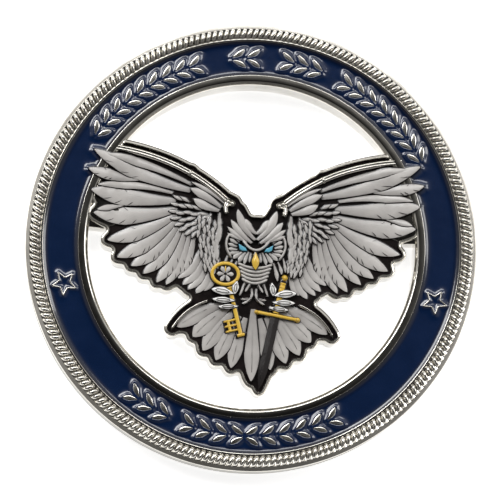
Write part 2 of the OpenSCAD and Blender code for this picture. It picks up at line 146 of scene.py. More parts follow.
CLAWS = [
    ((1.95, -4.2), (2.15, -5.65), 0.34, 0.05),
    ((2.3, -5.6), (4.75, -5.25), 0.42, 0.05),
    ((2.15, -6.4), (4.6, -6.35), 0.33, 0),
    ((1.75, -7.03), (3.9, -7.18), 0.27, 0),
]
LEGS = [
    ((2.05, -1.9), (2.6, -3.9), 0.2, 0.05),
    ((2.55, -1.75), (3.05, -3.15), 0.17, 0.05),
    ((3.1, -1.3), (3.45, -2.9), 0.16, 0.05),
    ((0.45, -4.4), (1, -5.3), 0.12, 0),
    ((1.05, -4.3), (1.6, -5.75), 0.13, 0),
    ((0.3, -4.9), (0.35, -6.1), 0.13, -0.1),
    ((0.35, -6), (1.25, -6.65), 0.12, -0.08),
    ((0.6, -6.15), (1.4, -6.15), 0.09, 0),
]
BEAK = ((0, -0.85), (0.05, -2.8), 0.42, 0)
EYE = [(0.95, -0.68), (1.15, -0.38), (1.95, 0.1), (1.8, -0.55), (1.45, -0.72)]

# Curves through three points each: start, pull and end
WING_BAR = ((3.1, 4.8), (8.6, 9.7), (16.6, 10.4))
SHOULDER_BAR = ((3.1, 4.8), (3.6, 4.2), (3.2, 3.4))
SHOULDER_KNOB = (2.65, 4.6)
TAIL_BAR = ((5, -6.5), (7.7, -7.4), (9, -9.9))
BROW = ((-1.7, 0.85), (0, -1.95), (1.7, 0.85))
FACE_RIM = ((2.9, 1.3), (3.9, 0), (2.6, -1.6))
COVERT_COLUMN = ((5, 3), (5.4, 0.2), (4.6, -2.8))
WEB = [(15, 1.8), (17, 1.1), (19.3, 1.2), (19.3, 9.6), (16.5, 9.6)]

# Groups of leaf pairs in the channel: (pairs, angle of the first from the middle of the spray)
TOP_SPRAY = [(9, -55), (2, -6), (3, 8), (8, 27)]
BOTTOM_SPRAY = [(3, -36), (10, -17.6)]


def length(name, millimetres, description):
    return FloatProperty(
        name=name, description=description, default=millimetres * MM, min=0, unit="LENGTH", precision=5
    )


def colour(name, rgb, description):
    return FloatVectorProperty(name=name, description=description, default=rgb, size=3, min=0, max=1, subtype="COLOR")


def amount(name, default, description):
    return FloatProperty(name=name, description=description, default=default, min=0)


class CoinRingSizes(bpy.types.PropertyGroup):
    """Sizes of the ring, its rope edge and its channel."""

    rope_outer: length("Rope outer radius", 24.88, "Radius to the outer ends of the rope's ridges")
    rope_inner: length("Rope inner radius", 23.68, "Radius to the inner ends of the rope's ridges")
    channel_outer: length("Channel outer radius", 23.4, "Outer radius of the enamelled channel")
    channel_inner: length("Channel inner radius", 19.5, "Inner radius of the enamelled channel")
    opening: length("Opening radius", 18.4, "Radius of the coin's opening")
    rim_z: length("Rim height", 3.6, "Height of the polished rims above the back plane")
    channel_z: length("Channel floor height", 2.9, "Height of the channel's floor above the back plane")
    back_depth: length("Back field depth", 0.35, "Depth of the sandblasted field on the back")
    bevel: length("Edge bevel", 0.2, "Width of the bevels at the edges of the ring")
    ridges: IntProperty(name="Ridges", description="Number of ridges in the rope edge", default=228, min=24)
    ridge_slant: length("Ridge slant", 0.5, "How far a ridge's outer end is ahead of its inner end round the ring")
    meniscus_rise: length("Meniscus rise", 0.22, "How far the enamel climbs the metal round it")
    meniscus_width: length("Meniscus width", 0.27, "How wide the enamel's climb is")
    star_radius: length("Star radius", 1.5, "Radius to the points of a star")


class CoinOwlSizes(bpy.types.PropertyGroup):
    """Sizes of the owl's relief."""

    contour_width: length("Contour width", 0.4, "Width of the raised line round the owl")
    contour_z: length("Contour height", 3.5, "Height of the raised line above the back plane")
    wing_shift: length("Wing shift", 0.2, "How far the wings' middle line lies right of the coin's centre")
    body_shift: length("Body shift", 0.42, "How far the body's middle line lies right of the coin's centre")
    outline: length("Outline width", 0.1, "Width of the black line round a feather")
    shingle: length("Shingle tilt", 0.08, "How far a feather's free edge is raised over its middle")
    dome: length("Feather dome", 0.09, "How far a feather's middle is raised over its edges")


class CoinFinishes(bpy.types.PropertyGroup):
    """Colours of the metal and the enamels."""

    nickel_dark: colour("Nickel shadow", (0.5, 0.48, 0.44), "Polished nickel where handling has dulled it")
    nickel_light: colour("Nickel", (0.74, 0.72, 0.67), "Polished nickel where it is clean")
    blue: colour("Blue enamel", (0.0024, 0.0098, 0.037), "Navy enamel in the middle of the channel")
    # Darker navy, painted as shade towards the channel's inner and outer rims.
    blue_painted_rim_shade: colour("Blue enamel edge", (0.0016, 0.003, 0.011), "Navy enamel where it thins against the metal")
    grey: colour("Grey enamel", (0.49, 0.47, 0.45), "Feather grey")
    # Darker grey for the enamel's random mottle, also painted as shade at the feathers' roots and along their edges.
    grey_mottle_and_painted_shade: colour("Grey enamel shade", (0.28, 0.265, 0.255), "Feather grey in the roots and along the edges")
    black: colour("Black enamel", (0.006, 0.004, 0.004), "Black of the bed, outlines and blade")
    white: colour("White enamel", (0.82, 0.81, 0.79), "White of the claws")
    yellow: colour("Yellow enamel", (0.72, 0.47, 0.06), "Golden yellow of the key, dagger and beak")
    yellow_shade: colour("Yellow enamel shade", (0.42, 0.23, 0.02), "Golden yellow along its edges")
    pale_blue: colour("Pale blue enamel", (0.13, 0.42, 0.56), "Eyes")


class CoinStageSettings(bpy.types.PropertyGroup):
    """Camera and light."""

    distance: FloatProperty(
        name="Camera distance", description="From the coin to the camera", default=0.3, min=0.05, unit="LENGTH"
    )
    view_width: length("View width", 56.0, "Width that the camera takes in at the coin")
    tilt: FloatProperty(
        name="Camera tilt", description="How far the camera leans towards the foot of the design",
        default=math.radians(9.5), unit="ROTATION",
    )
    side: FloatProperty(
        name="Camera side", description="How far the camera leans towards the left of the design",
        default=math.radians(3.5), unit="ROTATION",
    )
    roll: FloatProperty(
        name="Camera roll", description="How far the camera is turned anticlockwise", default=math.radians(2.4),
        unit="ROTATION",
    )
    key_power: amount("Key light", 1.0, "Strength of the large light at the upper left")
    floor_glow: amount("Floor glow", 0.75, "Light that the floor itself gives, which softens the shadow")


# ------------------------------------------------------------------ selecting and shaping


def only(*objects):
    """Selects these objects alone, and makes the first one active."""
    bpy.ops.object.select_all(action="DESELECT")
    for chosen in objects:
        chosen.select_set(True)
    bpy.context.view_layer.objects.active = objects[0]


def primitive(name, add, **settings):
    bpy.ops.object.select_all(action="DESELECT")
    add(**settings)
    made = bpy.context.object
    made.name = made.data.name = name
    return made


def in_edit_mode(piece, *steps):
    """Runs the steps on the piece in edit mode. A step is (what to select, its test, operator, its settings)."""
    only(piece)
    bpy.ops.object.mode_set(mode="EDIT")
    for kind, test, operator, settings in steps:
        bpy.ops.mesh.select_all(action="DESELECT")
        bpy.ops.mesh.select_mode(type={"verts": "VERT", "edges": "EDGE", "faces": "FACE"}[kind])
        mesh = bmesh.from_edit_mesh(piece.data)
        for element in getattr(mesh, kind):
            if test(element):
                element.select_set(True)
        if kind == "verts":
            mesh.select_flush(True)
        bmesh.update_edit_mesh(piece.data)
        operator(**settings)
    bpy.ops.object.mode_set(mode="OBJECT")


def anything(_element):
    return True


def open_edge(edge):
    return edge.is_boundary


def modified(piece, kind, **settings):
    """Adds a modifier and applies it."""
    only(piece)
    modifier = piece.modifiers.new(kind.title(), kind)
    for key, value in settings.items():
        setattr(modifier, key, value)
    bpy.ops.object.modifier_apply(modifier=modifier.name)


def reshape(piece, rule):
    """Puts every vertex where the rule says. The rule takes and returns arrays of x, y and z."""
    mesh = piece.data
    places = np.empty(len(mesh.vertices) * 3, np.float32)
    mesh.vertices.foreach_get("co", places)
    moved = np.stack(rule(*places.reshape(-1, 3).T.astype(float)), axis=1)
    mesh.vertices.foreach_set("co", moved.ravel().astype(np.float32))
    mesh.update()


def copied(piece, name):
    """A copy of the piece with its own mesh."""
    twin = piece.copy()
    twin.data = piece.data.copy()
    twin.name = twin.data.name = name
    bpy.context.scene.collection.objects.link(twin)
    return twin


def dropped(piece):
    mesh = piece.data
    bpy.data.objects.remove(piece)
    bpy.data.meshes.remove(mesh)


def joined(name, parts):
    only(*parts)
    if len(parts) > 1:
        bpy.ops.object.join()
    whole = bpy.context.object
    whole.name = whole.data.name = name
    return whole


def merged(piece, distance=0.001 * MM):
    in_edit_mode(piece, ("verts", anything, bpy.ops.mesh.remove_doubles, {"threshold": distance}))


def outwards(piece):
    in_edit_mode(piece, ("faces", anything, bpy.ops.mesh.normals_make_consistent, {"inside": False}))


def settled(piece, nodes, finish, sharp=40):
    """Gives the piece its finish, hides the CAD nodes it stands for and ties it to its body."""
    only(piece)
    if piece.name.split(".")[0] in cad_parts:
        piece.name = piece.name.split(".")[0] + "_relief"
    bpy.ops.object.transform_apply(location=True, rotation=True, scale=True)
    piece.data.materials.clear()
    piece.data.materials.append(finish)
    bpy.ops.object.shade_smooth_by_angle(angle=math.radians(sharp))
    if nodes:
        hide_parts(*nodes)
    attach(piece, "root")
    return piece


# ------------------------------------------------------------------ forms


def sheet(name, along, across):
    """A flat grid, -1 to 1 both ways, whose UV map runs from 0 to 1 both ways."""
    return primitive(
        name, bpy.ops.mesh.primitive_grid_add, size=2, x_subdivisions=along, y_subdivisions=across
    )


def quad_point(curve, t):
    """Points of a curve through start, pull and end, in millimetres, for an array of positions along it."""
    start, pull, end = (np.array(point, float) for point in curve)
    t = np.asarray(t, float)[..., None]
    return (1 - t) ** 2 * start + 2 * t * (1 - t) * pull + t**2 * end


def quad_left(curve, t):
    start, pull, end = (np.array(point, float) for point in curve)
    t = np.asarray(t, float)[..., None]
    way = (1 - t) * (pull - start) + t * (end - pull)
    way /= np.linalg.norm(way, axis=-1, keepdims=True)
    return np.stack([-way[..., 1], way[..., 0]], axis=-1)


def feather_width(t, root, taper):
    """Width of a feather along its length, 0 at the base and 1 at the tip, as part of its widest."""
    late = np.clip((t - taper) / (1 - taper), 0, 1)
    return (root + (1 - root) * np.minimum(1, t / taper)) * (1 - late**1.8) ** 0.75


def over_rim(x, y):
    """How far a wing tip is lifted to pass over the ring's inner rim."""
    reach = np.clip((np.hypot(x, y) - 15.8) / 2.5, 0, 1)
    return 0.72 * reach * reach * (3 - 2 * reach)


def level(_x, _y):
    return 0.0


class Feather:
    """Where the surface of one feather lies. Lengths are in millimetres, from the owl's middle line.
    The tilt raises the edge that is free, away from the feather before it."""

    def __init__(self, spec, side=1, shift=0.0, low=3.0, dome=0.09, tilt=0.0, root=0.3, taper=0.62,
                 ridge=0.0, groove=0.0, lift=level):
        (base_x, base_y), (tip_x, tip_y), self.half, bow = spec
        self.base = np.array((side * base_x + shift, base_y))
        self.way = np.array((side * tip_x + shift, tip_y)) - self.base
        self.long = np.linalg.norm(self.way)
        self.left = np.array((-self.way[1], self.way[0])) / self.long
        self.bow = bow * side
        self.side = side
        self.low, self.dome, self.tilt, self.ridge, self.groove = low, dome, tilt, ridge, groove
        self.root, self.taper, self.lift = root, taper, lift

    def point(self, t, u, spread=0.0):
        """x and y at t along and u across, from -1 on the right edge to 1 on the left."""
        inside = np.clip(t, 0, 1)
        half = self.half * feather_width(inside, self.root, self.taper) + spread
        across = 4 * self.bow * inside * (1 - inside) + u * half
        return (self.base[:, None] + self.way[:, None] * t + self.left[:, None] * across)

    def height(self, t, u, x, y):
        full = feather_width(np.clip(t, 0, 1), self.root, self.taper)
        swell = self.dome * (1 - u * u) + self.ridge * (1 - np.abs(u)) - self.groove * (np.abs(u) < 0.1)
        return self.low + (swell - self.tilt * self.side * u) * full + self.lift(x, y)

    def lay(self, piece, spread=0.0, drop=0.0):
        """Shapes a sheet into the feather, wider by the spread and lower by the drop."""

        def rule(grid_x, grid_y, _grid_z):
            t = np.sin(0.25 * math.pi * (grid_x + 1))
            x, y = self.point(t + (2 * t - 1) * spread / self.long, grid_y, spread)
            return x * MM, y * MM, (self.height(t, grid_y, x, y) - drop) * MM

        reshape(piece, rule)
        return piece

    def lay_slit(self, piece, start, end, half):
        """Shapes a sheet into a thin slit that lies on the feather between two (along, across) points."""

        def rule(grid_x, grid_y, _grid_z):
            s = (grid_x + 1) / 2
            width = half * np.sin(math.pi * s ** 0.7)
            t = start[0] + (end[0] - start[0]) * s + grid_y * width / self.long
            u = start[1] + (end[1] - start[1]) * s
            x, y = self.point(t, u)
            return x * MM, y * MM, (self.height(t, u, x, y) + 0.012) * MM

        reshape(piece, rule)
        return piece

    def outline(self, spread, count=60):
        """Points round the feather."""
        t = np.sin(0.5 * math.pi * np.linspace(0, 1, count))
        sides = [self.point(t + (2 * t - 1) * spread / self.long, np.full(count, edge), spread) for edge in (-1, 1)]
        return np.concatenate(sides, axis=1).T


def plumage(specs, side, shift, low, step=0.0, **form):
    """Feathers that lap: each lies a step lower than the one before it."""
    return [Feather(spec, side, shift, low=low - step * i, **form) for i, spec in enumerate(specs)]


def laid(name, feathers, blank, spread=0.0, drop=0.0, thick=0.25):
    """Feathers as one piece of closed solids."""
    whole = joined(name, [feather.lay(copied(blank, name), spread, drop) for feather in feathers])
    merged(whole)
    modified(whole, "SOLIDIFY", thickness=thick * MM, offset=-1)
    return whole


def swept(name, path, section, round_ends=0.0, closed=False, tube=True):
    """A bar swept along a path of (x, y) points. The section is (across, height) pairs, with left positive.
    Round ends narrow the bar over that part of its length. All are in millimetres."""
    path = np.asarray(path, float)
    section = np.asarray(list(section) + ([section[0]] if tube else []), float)
    ahead = np.roll(path, -1, axis=0) - np.roll(path, 1, axis=0)
    if not closed:
        ahead[0] = path[1] - path[0]
        ahead[-1] = path[-1] - path[-2]
    ahead /= np.linalg.norm(ahead, axis=1, keepdims=True)
    left = np.stack([-ahead[:, 1], ahead[:, 0]], axis=1)
    if closed:
        path, left = (np.concatenate([rows, rows[:1]]) for rows in (path, left))
    bar = sheet(name, len(path) - 1, len(section) - 1)
    foot = section[:, 1].min()

    def rule(grid_x, grid_y, _grid_z):
        along = np.rint((grid_x + 1) / 2 * (len(path) - 1)).astype(int)
        round_it = np.rint((grid_y + 1) / 2 * (len(section) - 1)).astype(int)
        swell = np.ones(len(path))
        if round_ends:
            t = np.linspace(0, 1, len(path))
            edge = np.clip(np.minimum(t, 1 - t) / round_ends, 0, 1)
            swell = np.sqrt(1 - (1 - edge) ** 2)
        across = section[round_it, 0] * swell[along]
        height = foot + (section[round_it, 1] - foot) * (0.35 + 0.65 * swell[along])
        x, y = (path[along] + left[along] * across[:, None]).T
        return x * MM, y * MM, height * MM

    reshape(bar, rule)
    merged(bar)
    in_edit_mode(bar, ("edges", anything, bpy.ops.mesh.fill_holes, {"sides": 0}))
    outwards(bar)
    return bar


def rounded_bar(half, low, high, points=9, grooved=0.0):
    """Section of a bar with a round back, or with two round backs and a groove between them."""
    section = []
    for i in range(points):
        u = 1 - 2 * i / (points - 1)
        crown = math.sqrt(max(0, 1 - u**4))
        dip = grooved * max(0, 1 - abs(u) / 0.35)
        section.append((half * u, low + (high - low) * (0.45 + 0.55 * crown) - dip))
    return [(half, low)] + section + [(-half, low)]


def line_path(start, end, count=8):
    return np.linspace(np.array(start, float), np.array(end, float), count)


def shifted(points, shift, side=1):
    return [(side * x + shift, y) for x, y in points]


def oval_path(centre, half_x, half_y, count=48):
    angles = np.linspace(0, TURN, count, endpoint=False)
    return np.stack([centre[0] + half_x * np.cos(angles), centre[1] + half_y * np.sin(angles)], axis=1)


def pillow(name, points, low, high, bevel=0.06):
    """A flat polygon raised into a low block with rounded top edges."""
    disc = primitive(name, bpy.ops.mesh.primitive_circle_add, vertices=len(points), radius=1, fill_type="NGON")
    for vertex, (x, y) in zip(disc.data.vertices, points):
        vertex.co = (x * MM, y * MM, low * MM)
    in_edit_mode(
        disc,
        ("faces", anything, bpy.ops.mesh.extrude_region_move,
         {"TRANSFORM_OT_translate": {"value": (0, 0, (high - low) * MM)}}),
    )
    outwards(disc)
    top = (high - 0.001) * MM
    in_edit_mode(
        disc,
        ("edges", lambda edge: all(v.co.z > top for v in edge.verts), bpy.ops.mesh.bevel,
         {"offset": bevel * MM, "segments": 3, "affect": "EDGES", "profile": 0.6}),
    )
    return disc


def button(name, centre, half_x, half_y, low, high):
    """A low round knob."""
    ball = primitive(name, bpy.ops.mesh.primitive_uv_sphere_add, segments=24, ring_count=12, radius=1)
    in_edit_mode(
        ball,
        ("faces", anything, bpy.ops.mesh.bisect,
         {"plane_co": (0, 0, 0), "plane_no": (0, 0, 1), "clear_inner": True, "use_fill": True}),
    )
    reshape(ball, lambda x, y, z: (
        (centre[0] + half_x * x) * MM, (centre[1] + half_y * y) * MM, (low + (high - low) * z) * MM))
    outwards(ball)
    return ball


# ------------------------------------------------------------------ finishes


class Term:
    """A value in a material. Sums, differences and products of terms add their Math nodes."""

    def __init__(self, finish, socket):
        self.finish = finish
        self.socket = socket

    def math(self, operation, *others):
        return self.finish.number(operation, self, *others)

    def __add__(self, other):
        return self.math("ADD", other)

    def __mul__(self, other):
        return self.math("MULTIPLY", other)

    def __sub__(self, other):
        return self.math("SUBTRACT", other)

    def __rsub__(self, other):
        return self.finish.number("SUBTRACT", other, self)

    def __truediv__(self, other):
        return self.math("DIVIDE", other)

    def __pow__(self, other):
        return self.math("POWER", other)

    __radd__ = __add__
    __rmul__ = __mul__


class Finish:
    """A material under construction."""

    def __init__(self, name, **constants):
        self.material = bpy.data.materials.new(name)
        self.material.use_nodes = True
        self.tree = self.material.node_tree
        self.shader = self.tree.nodes["Principled BSDF"]
        for socket, value in constants.items():
            self.shader.inputs[socket.replace("_", " ")].default_value = value

    @classmethod
    def around(cls, tree):
        """The same tools for another node tree."""
        tools = cls.__new__(cls)
        tools.tree = tree
        return tools

    def node(self, kind, settings=None, inputs=None, output=0):
        """Adds a node, sets it up, wires or fills its sockets, and gives one of its outputs."""
        made = self.tree.nodes.new(kind)
        for key, value in (settings or {}).items():
            if key == "stops":
                self.set_stops(made.color_ramp, value)
            else:
                setattr(made, key, value)
        for key, value in (inputs or {}).items():
            self.fill(made.inputs[key], value)
        return Term(self, made.outputs[output])

    def fill(self, socket, value):
        if isinstance(value, Term):
            self.tree.links.new(value.socket, socket)
        elif socket.type == "RGBA":
            socket.default_value = (*value[:3], 1)
        else:
            socket.default_value = value

    @staticmethod
    def set_stops(ramp, stops):
        while len(ramp.elements) < len(stops):
            ramp.elements.new(1)
        for element, (position, grey) in zip(ramp.elements, stops):
            element.position = position
            element.color = (grey, grey, grey, 1)

    def number(self, operation, *values):
        return self.node("ShaderNodeMath", {"operation": operation}, dict(enumerate(values)))

    def blend(self, factor, first, second):
        return self.node("ShaderNodeMix", {"data_type": "RGBA"}, {0: factor, 6: first, 7: second}, output=2)

    def ramp(self, value, *stops):
        return self.node("ShaderNodeValToRGB", {"stops": stops}, {"Fac": value})

    def place(self, kind="Object"):
        return self.node("ShaderNodeTexCoord", output=kind)

    def noise(self, size, detail=2, roughness=0.5, stretch=None):
        """Noise whose features are about this size, in metres."""
        where = self.place()
        if stretch:
            where = self.node("ShaderNodeMapping", inputs={"Vector": where, "Scale": stretch})
        return self.node(
            "ShaderNodeTexNoise", inputs={"Vector": where, "Scale": 1 / size, "Detail": detail, "Roughness": roughness}
        )

    def axis(self, name):
        return self.node("ShaderNodeSeparateXYZ", inputs={0: self.place()}, output="XYZ".index(name))

    def along_and_across(self):
        """A feather's UV map: along from 0 at its base, across from 0 to 1."""
        where = self.node("ShaderNodeUVMap", {"uv_map": "UVMap"})
        return [self.node("ShaderNodeSeparateXYZ", inputs={0: where}, output=i) for i in (0, 1)]

    def set(self, **values):
        for socket, value in values.items():
            self.fill(self.shader.inputs[socket.replace("_", " ")], value)

    def bump(self, height, distance, strength=1.0):
        self.set(Normal=self.node("ShaderNodeBump", inputs={
            "Height": height, "Distance": distance, "Strength": strength}))


def nickel(name, dull=0.0, ripple=1.0):
    """Bright nickel plate over a die casting: slightly wavy flats, fine hairlines and handling marks."""
    colours = bpy.context.scene.coin_finishes
    metal = Finish(name, Metallic=1.0)
    smudge = metal.ramp(metal.noise(4 * MM, 4, 0.6), (0.35, 0), (0.7, 1))
    grain = metal.noise(0.25 * MM, 3, 0.6)
    hairs = metal.noise(0.5 * MM, 4, 0.7, stretch=(1, 14, 1))
    metal.set(
        Base_Color=metal.blend(smudge, colours.nickel_light, colours.nickel_dark),
        Roughness=smudge * 0.08 + grain * 0.05 + (0.05 + dull),
    )
    wave = metal.noise(2.6 * MM, 1, 0.4)
    metal.bump(wave * ripple + grain * (0.02 + 0.3 * dull) + hairs * 0.012 * ripple, 0.05 * MM, 0.8)
    return metal.material


def wall_nickel():
    """The plain wall round the edge: smooth, and softer and darker than the polished faces."""
    colours = bpy.context.scene.coin_finishes
    metal = Finish("wall_nickel", Metallic=1.0)
    grain = metal.noise(0.25 * MM, 3, 0.6)
    darker = tuple(c * 0.6 for c in colours.nickel_dark)
    metal.set(Base_Color=metal.blend(grain, darker, colours.nickel_dark), Roughness=grain * 0.1 + 0.3)
    return metal.material


def sandblasted():
    """The matt recessed field on the back."""
    colours = bpy.context.scene.coin_finishes
    metal = Finish("sandblasted_nickel", Metallic=1.0)
    grain = metal.noise(0.09 * MM, 3, 0.7)
    metal.set(
        Base_Color=metal.blend(grain, colours.nickel_dark, colours.nickel_light),
        Roughness=grain * 0.2 + 0.38,
    )
    metal.bump(grain, 0.03 * MM, 0.9)
    return metal.material


def enamel(name, base, shade, roughness, orange_peel=0.3, by_feather=False, **constants):
    """Soft enamel: a little uneven in colour, with a soft skin that has a faint orange peel. For feathers the darker
    colour is also painted as shade at the roots and along the edges.
    """
    glaze = Finish(name, Coat_Roughness=0.06, **constants)
    mottle = glaze.noise(1.4 * MM, 3, 0.55)
    peel = glaze.noise(0.35 * MM, 2, 0.5)
    tone = glaze.ramp(mottle, (0.35, 0), (0.75, 0.35))
    height = peel * orange_peel
    if by_feather:
        along, across = glaze.along_and_across()
        off_shaft = ((across - 0.5) * 2).math("ABSOLUTE")
        # Painted shade: the feather darkens towards its edges and at its root, where the feather before it overlaps.
        edge = off_shaft**4
        root = glaze.ramp(along, (0.0, 0.75), (0.5, 0.0))
        barbs = (along * 150 + off_shaft * 22).math("SINE")
        tone = (tone + edge * 0.45 + root).math("MINIMUM", 1) + barbs * 0.03
        height = height + barbs * 0.14
    glaze.set(
        Base_Color=glaze.blend(tone, base, shade),
        Roughness=mottle * 0.12 + roughness,
    )
    glaze.bump(height, 0.02 * MM, 0.7)
    return glaze.material


def blue_enamel():
    """Navy enamel, glossy, with a faint unevenness, and painted shade that darkens it towards both rims of the channel.
    """
    colours = bpy.context.scene.coin_finishes
    sizes = bpy.context.scene.coin_ring
    glaze = Finish("blue_enamel", Coat_Weight=0.6, Coat_Roughness=0.04, IOR=1.5)
    x, y = glaze.axis("X"), glaze.axis("Y")
    radius = (x * x + y * y) ** 0.5
    middle = (sizes.channel_outer + sizes.channel_inner) / 2
    half = (sizes.channel_outer - sizes.channel_inner) / 2
    from_middle = ((radius - middle) / half).math("ABSOLUTE")
    mottle = glaze.noise(2.2 * MM, 3, 0.5)
    # Painted shade: the enamel darkens from the channel's middle towards both rims.
    edge = glaze.ramp(from_middle + (mottle - 0.5) * 0.1, (0.62, 0), (1.0, 1))
    peel = glaze.noise(0.8 * MM, 2, 0.4)
    lighter = tuple(min(1, c * 1.5) for c in colours.blue)
    base = glaze.blend(mottle, colours.blue, lighter)
    glaze.set(Base_Color=glaze.blend(edge, base, colours.blue_painted_rim_shade), Roughness=mottle * 0.1 + 0.1)
    glaze.bump(peel, 0.02 * MM, 0.5)
    return glaze.material


FINISHES = {}


def finish(name):
    """The material of a slot, made when it is first used."""
    if name not in FINISHES:
        colours = bpy.context.scene.coin_finishes
        made = {
            "polished_nickel": lambda: nickel("polished_nickel"),
            "cast_nickel": lambda: nickel("cast_nickel", dull=0.12),
            "rope_nickel": lambda: nickel("rope_nickel", dull=0.04, ripple=0.1),
            "sandblasted_nickel": sandblasted,
            "wall_nickel": wall_nickel,
            "blue_enamel": blue_enamel,
            # Feather grey, with painted shade at the roots and along the edges.
            "grey_enamel": lambda: enamel(
                "grey_enamel", colours.grey, colours.grey_mottle_and_painted_shade, 0.24, by_feather=True, Coat_Weight=0.25),
            "plain_grey_enamel": lambda: enamel(
                "plain_grey_enamel", colours.grey, colours.grey_mottle_and_painted_shade, 0.24, Coat_Weight=0.25),
            "black_enamel": lambda: enamel(
                "black_enamel", colours.black, (0.02, 0.013, 0.012), 0.14, 0.5, Coat_Weight=0.4),
            "white_enamel": lambda: enamel(
                "white_enamel", colours.white, (0.5, 0.49, 0.48), 0.22, Coat_Weight=0.3),
            "yellow_enamel": lambda: enamel(
                "yellow_enamel", colours.yellow, colours.yellow_shade, 0.22, Coat_Weight=0.3),
            "pale_blue_enamel": lambda: enamel(
                "pale_blue_enamel", colours.pale_blue, (0.03, 0.2, 0.33), 0.12, Coat_Weight=0.6),
        }[name]
        FINISHES[name] = made()
    return FINISHES[name]


def in_nickel(piece, sharp, look="polished_nickel"):
    """Finishes a piece of bare metal, which belongs to the casting."""
    settled(piece, ["coin_casting"], finish(look), sharp)


def in_black(piece, sharp=40):
    """Finishes a black outline, which stands for no node of its own."""
    settled(piece, [], finish("black_enamel"), sharp)


def in_enamel(piece, node, colour, sharp, look=None):
    """Finishes a fill that stands for one node."""
    settled(piece, [node], finish(look or f"{colour}_enamel"), sharp)


# ------------------------------------------------------------------ stage


class COIN_OT_stage(bpy.types.Operator):
    """Adds the camera, the floor and the studio light"""

    bl_idname = "coin.stage"
    bl_label = "Stage"

    def execute(self, context):
        settings = context.scene.coin_stage
        self.add_camera(context, settings)
        self.add_floor(settings)
        self.add_surroundings(context, settings)
        self.add_lights(settings)
        context.scene.view_settings.view_transform = "Standard"
        return {"FINISHED"}

    def add_camera(self, context, settings):
        backward = Vector((-math.sin(settings.side), -math.sin(settings.tilt), 0))
        backward.z = math.sqrt(1 - backward.length_squared)
        upward = Vector((-math.sin(settings.roll), math.cos(settings.roll), 0))
        right = upward.cross(backward).normalized()
        upward = backward.cross(right)
        aim = Vector((0, 0, AIM_HEIGHT * MM)) - right * AIM_LEFT * MM - upward * AIM_DOWN * MM
        bpy.ops.object.camera_add()
        camera = context.object
        camera.name = "camera"
        camera.matrix_world = Matrix.Translation(aim + backward * settings.distance) @ Matrix(
            (right, upward, backward)).transposed().to_4x4()
        camera.data.sensor_width = 36
        camera.data.lens = camera.data.sensor_width * settings.distance / settings.view_width
        camera.data.clip_start = 0.01
        camera.data.dof.use_dof = False
        context.scene.camera = camera

    def add_floor(self, settings):
        floor = primitive("floor", bpy.ops.mesh.primitive_plane_add, size=3)
        paint = Finish("floor_paint", Roughness=0.6, Emission_Strength=settings.floor_glow)
        tone = paint.noise(60 * MM, 2, 0.5)
        paint.set(Base_Color=paint.blend(tone, (0.93, 0.93, 0.93), (0.9, 0.9, 0.9)), Emission_Color=(1, 1, 1))
        floor.data.materials.append(paint.material)

    def add_surroundings(self, context, settings):
        """A pale room with a dark camera and ceiling above the coin, as polished metal mirrors it. The room is
        brightest behind the head of the design."""
        world = bpy.data.worlds.new("room")
        context.scene.world = world
        world.use_nodes = True
        room = Finish.around(world.node_tree)
        direction = room.place("Generated")
        overhead = (-math.sin(settings.side), -math.sin(settings.tilt), 0.98)
        near_camera = room.node(
            "ShaderNodeVectorMath", {"operation": "DOT_PRODUCT"}, {0: direction, 1: overhead}, output=1)
        backward = room.node("ShaderNodeSeparateXYZ", inputs={0: direction}, output=1)
        light = room.ramp(
            near_camera, (0.0, 0.9), (0.55, 0.75), (0.8, 0.5), (0.88, 0.26), (0.915, 0.09), (0.955, 0.015))
        room.fill(world.node_tree.nodes["Background"].inputs["Strength"], light * (backward * 0.45 + 0.6))
        world.node_tree.nodes["Background"].inputs["Color"].default_value = (1, 0.98, 0.95, 1)

    def add_lights(self, settings):
        """Soft boxes: name, azimuth from +Y clockwise, elevation, distance, width, height, watts."""
        boxes = [
            ("key", -40, 48, 0.7, 0.4, 0.26, 2.6 * settings.key_power),
            ("right", 70, 36, 0.8, 0.26, 0.34, 1.3),
            ("back", 8, 52, 0.8, 0.5, 0.2, 1.6),
        ]
        for name, azimuth, elevation, distance, width, height, power in boxes:
            turn, rise = math.radians(azimuth), math.radians(elevation)
            place = Vector((math.sin(turn) * math.cos(rise), math.cos(turn) * math.cos(rise), math.sin(rise)))
            bpy.ops.object.light_add(type="AREA", location=place * distance)
            light = bpy.context.object
            light.name = name
            light.rotation_euler = place.to_track_quat("Z", "Y").to_euler()
            light.data.shape = "RECTANGLE"
            light.data.size = width
            light.data.size_y = height
            light.data.energy = power


# ------------------------------------------------------------------ ring


def rounded(points, softness=4):
    """A closed outline of (x, y, corner radius) with its corners rounded."""
    line = []
    for i, (x, y, radius) in enumerate(points):
        here = Vector((x, y))
        before = Vector(points[i - 1][:2]) - here
        after = Vector(points[(i + 1) % len(points)][:2]) - here
        start = here + before.normalized() * min(radius, before.length * 0.49)
        end = here + after.normalized() * min(radius, after.length * 0.49)
        for k in range(softness + 1 if radius else 1):
            t = k / softness
            line.append(start.lerp(here, t).lerp(here.lerp(end, t), t) if radius else here)
    return line


def spun(name, outline, steps):
    """A closed outline of (radius, height) spun round the coin's axis."""
    ring = primitive(name, bpy.ops.mesh.primitive_circle_add, vertices=len(outline), radius=1, fill_type="NOTHING")
    for vertex, (radius, height) in zip(ring.data.vertices, outline):
        vertex.co = (radius * MM, 0, height * MM)
    in_edit_mode(
        ring,
        ("verts", anything, bpy.ops.mesh.spin,
         {"steps": steps, "angle": TURN, "center": (0, 0, 0), "axis": (0, 0, 1)}),
    )
    merged(ring)
    outwards(ring)
    return ring


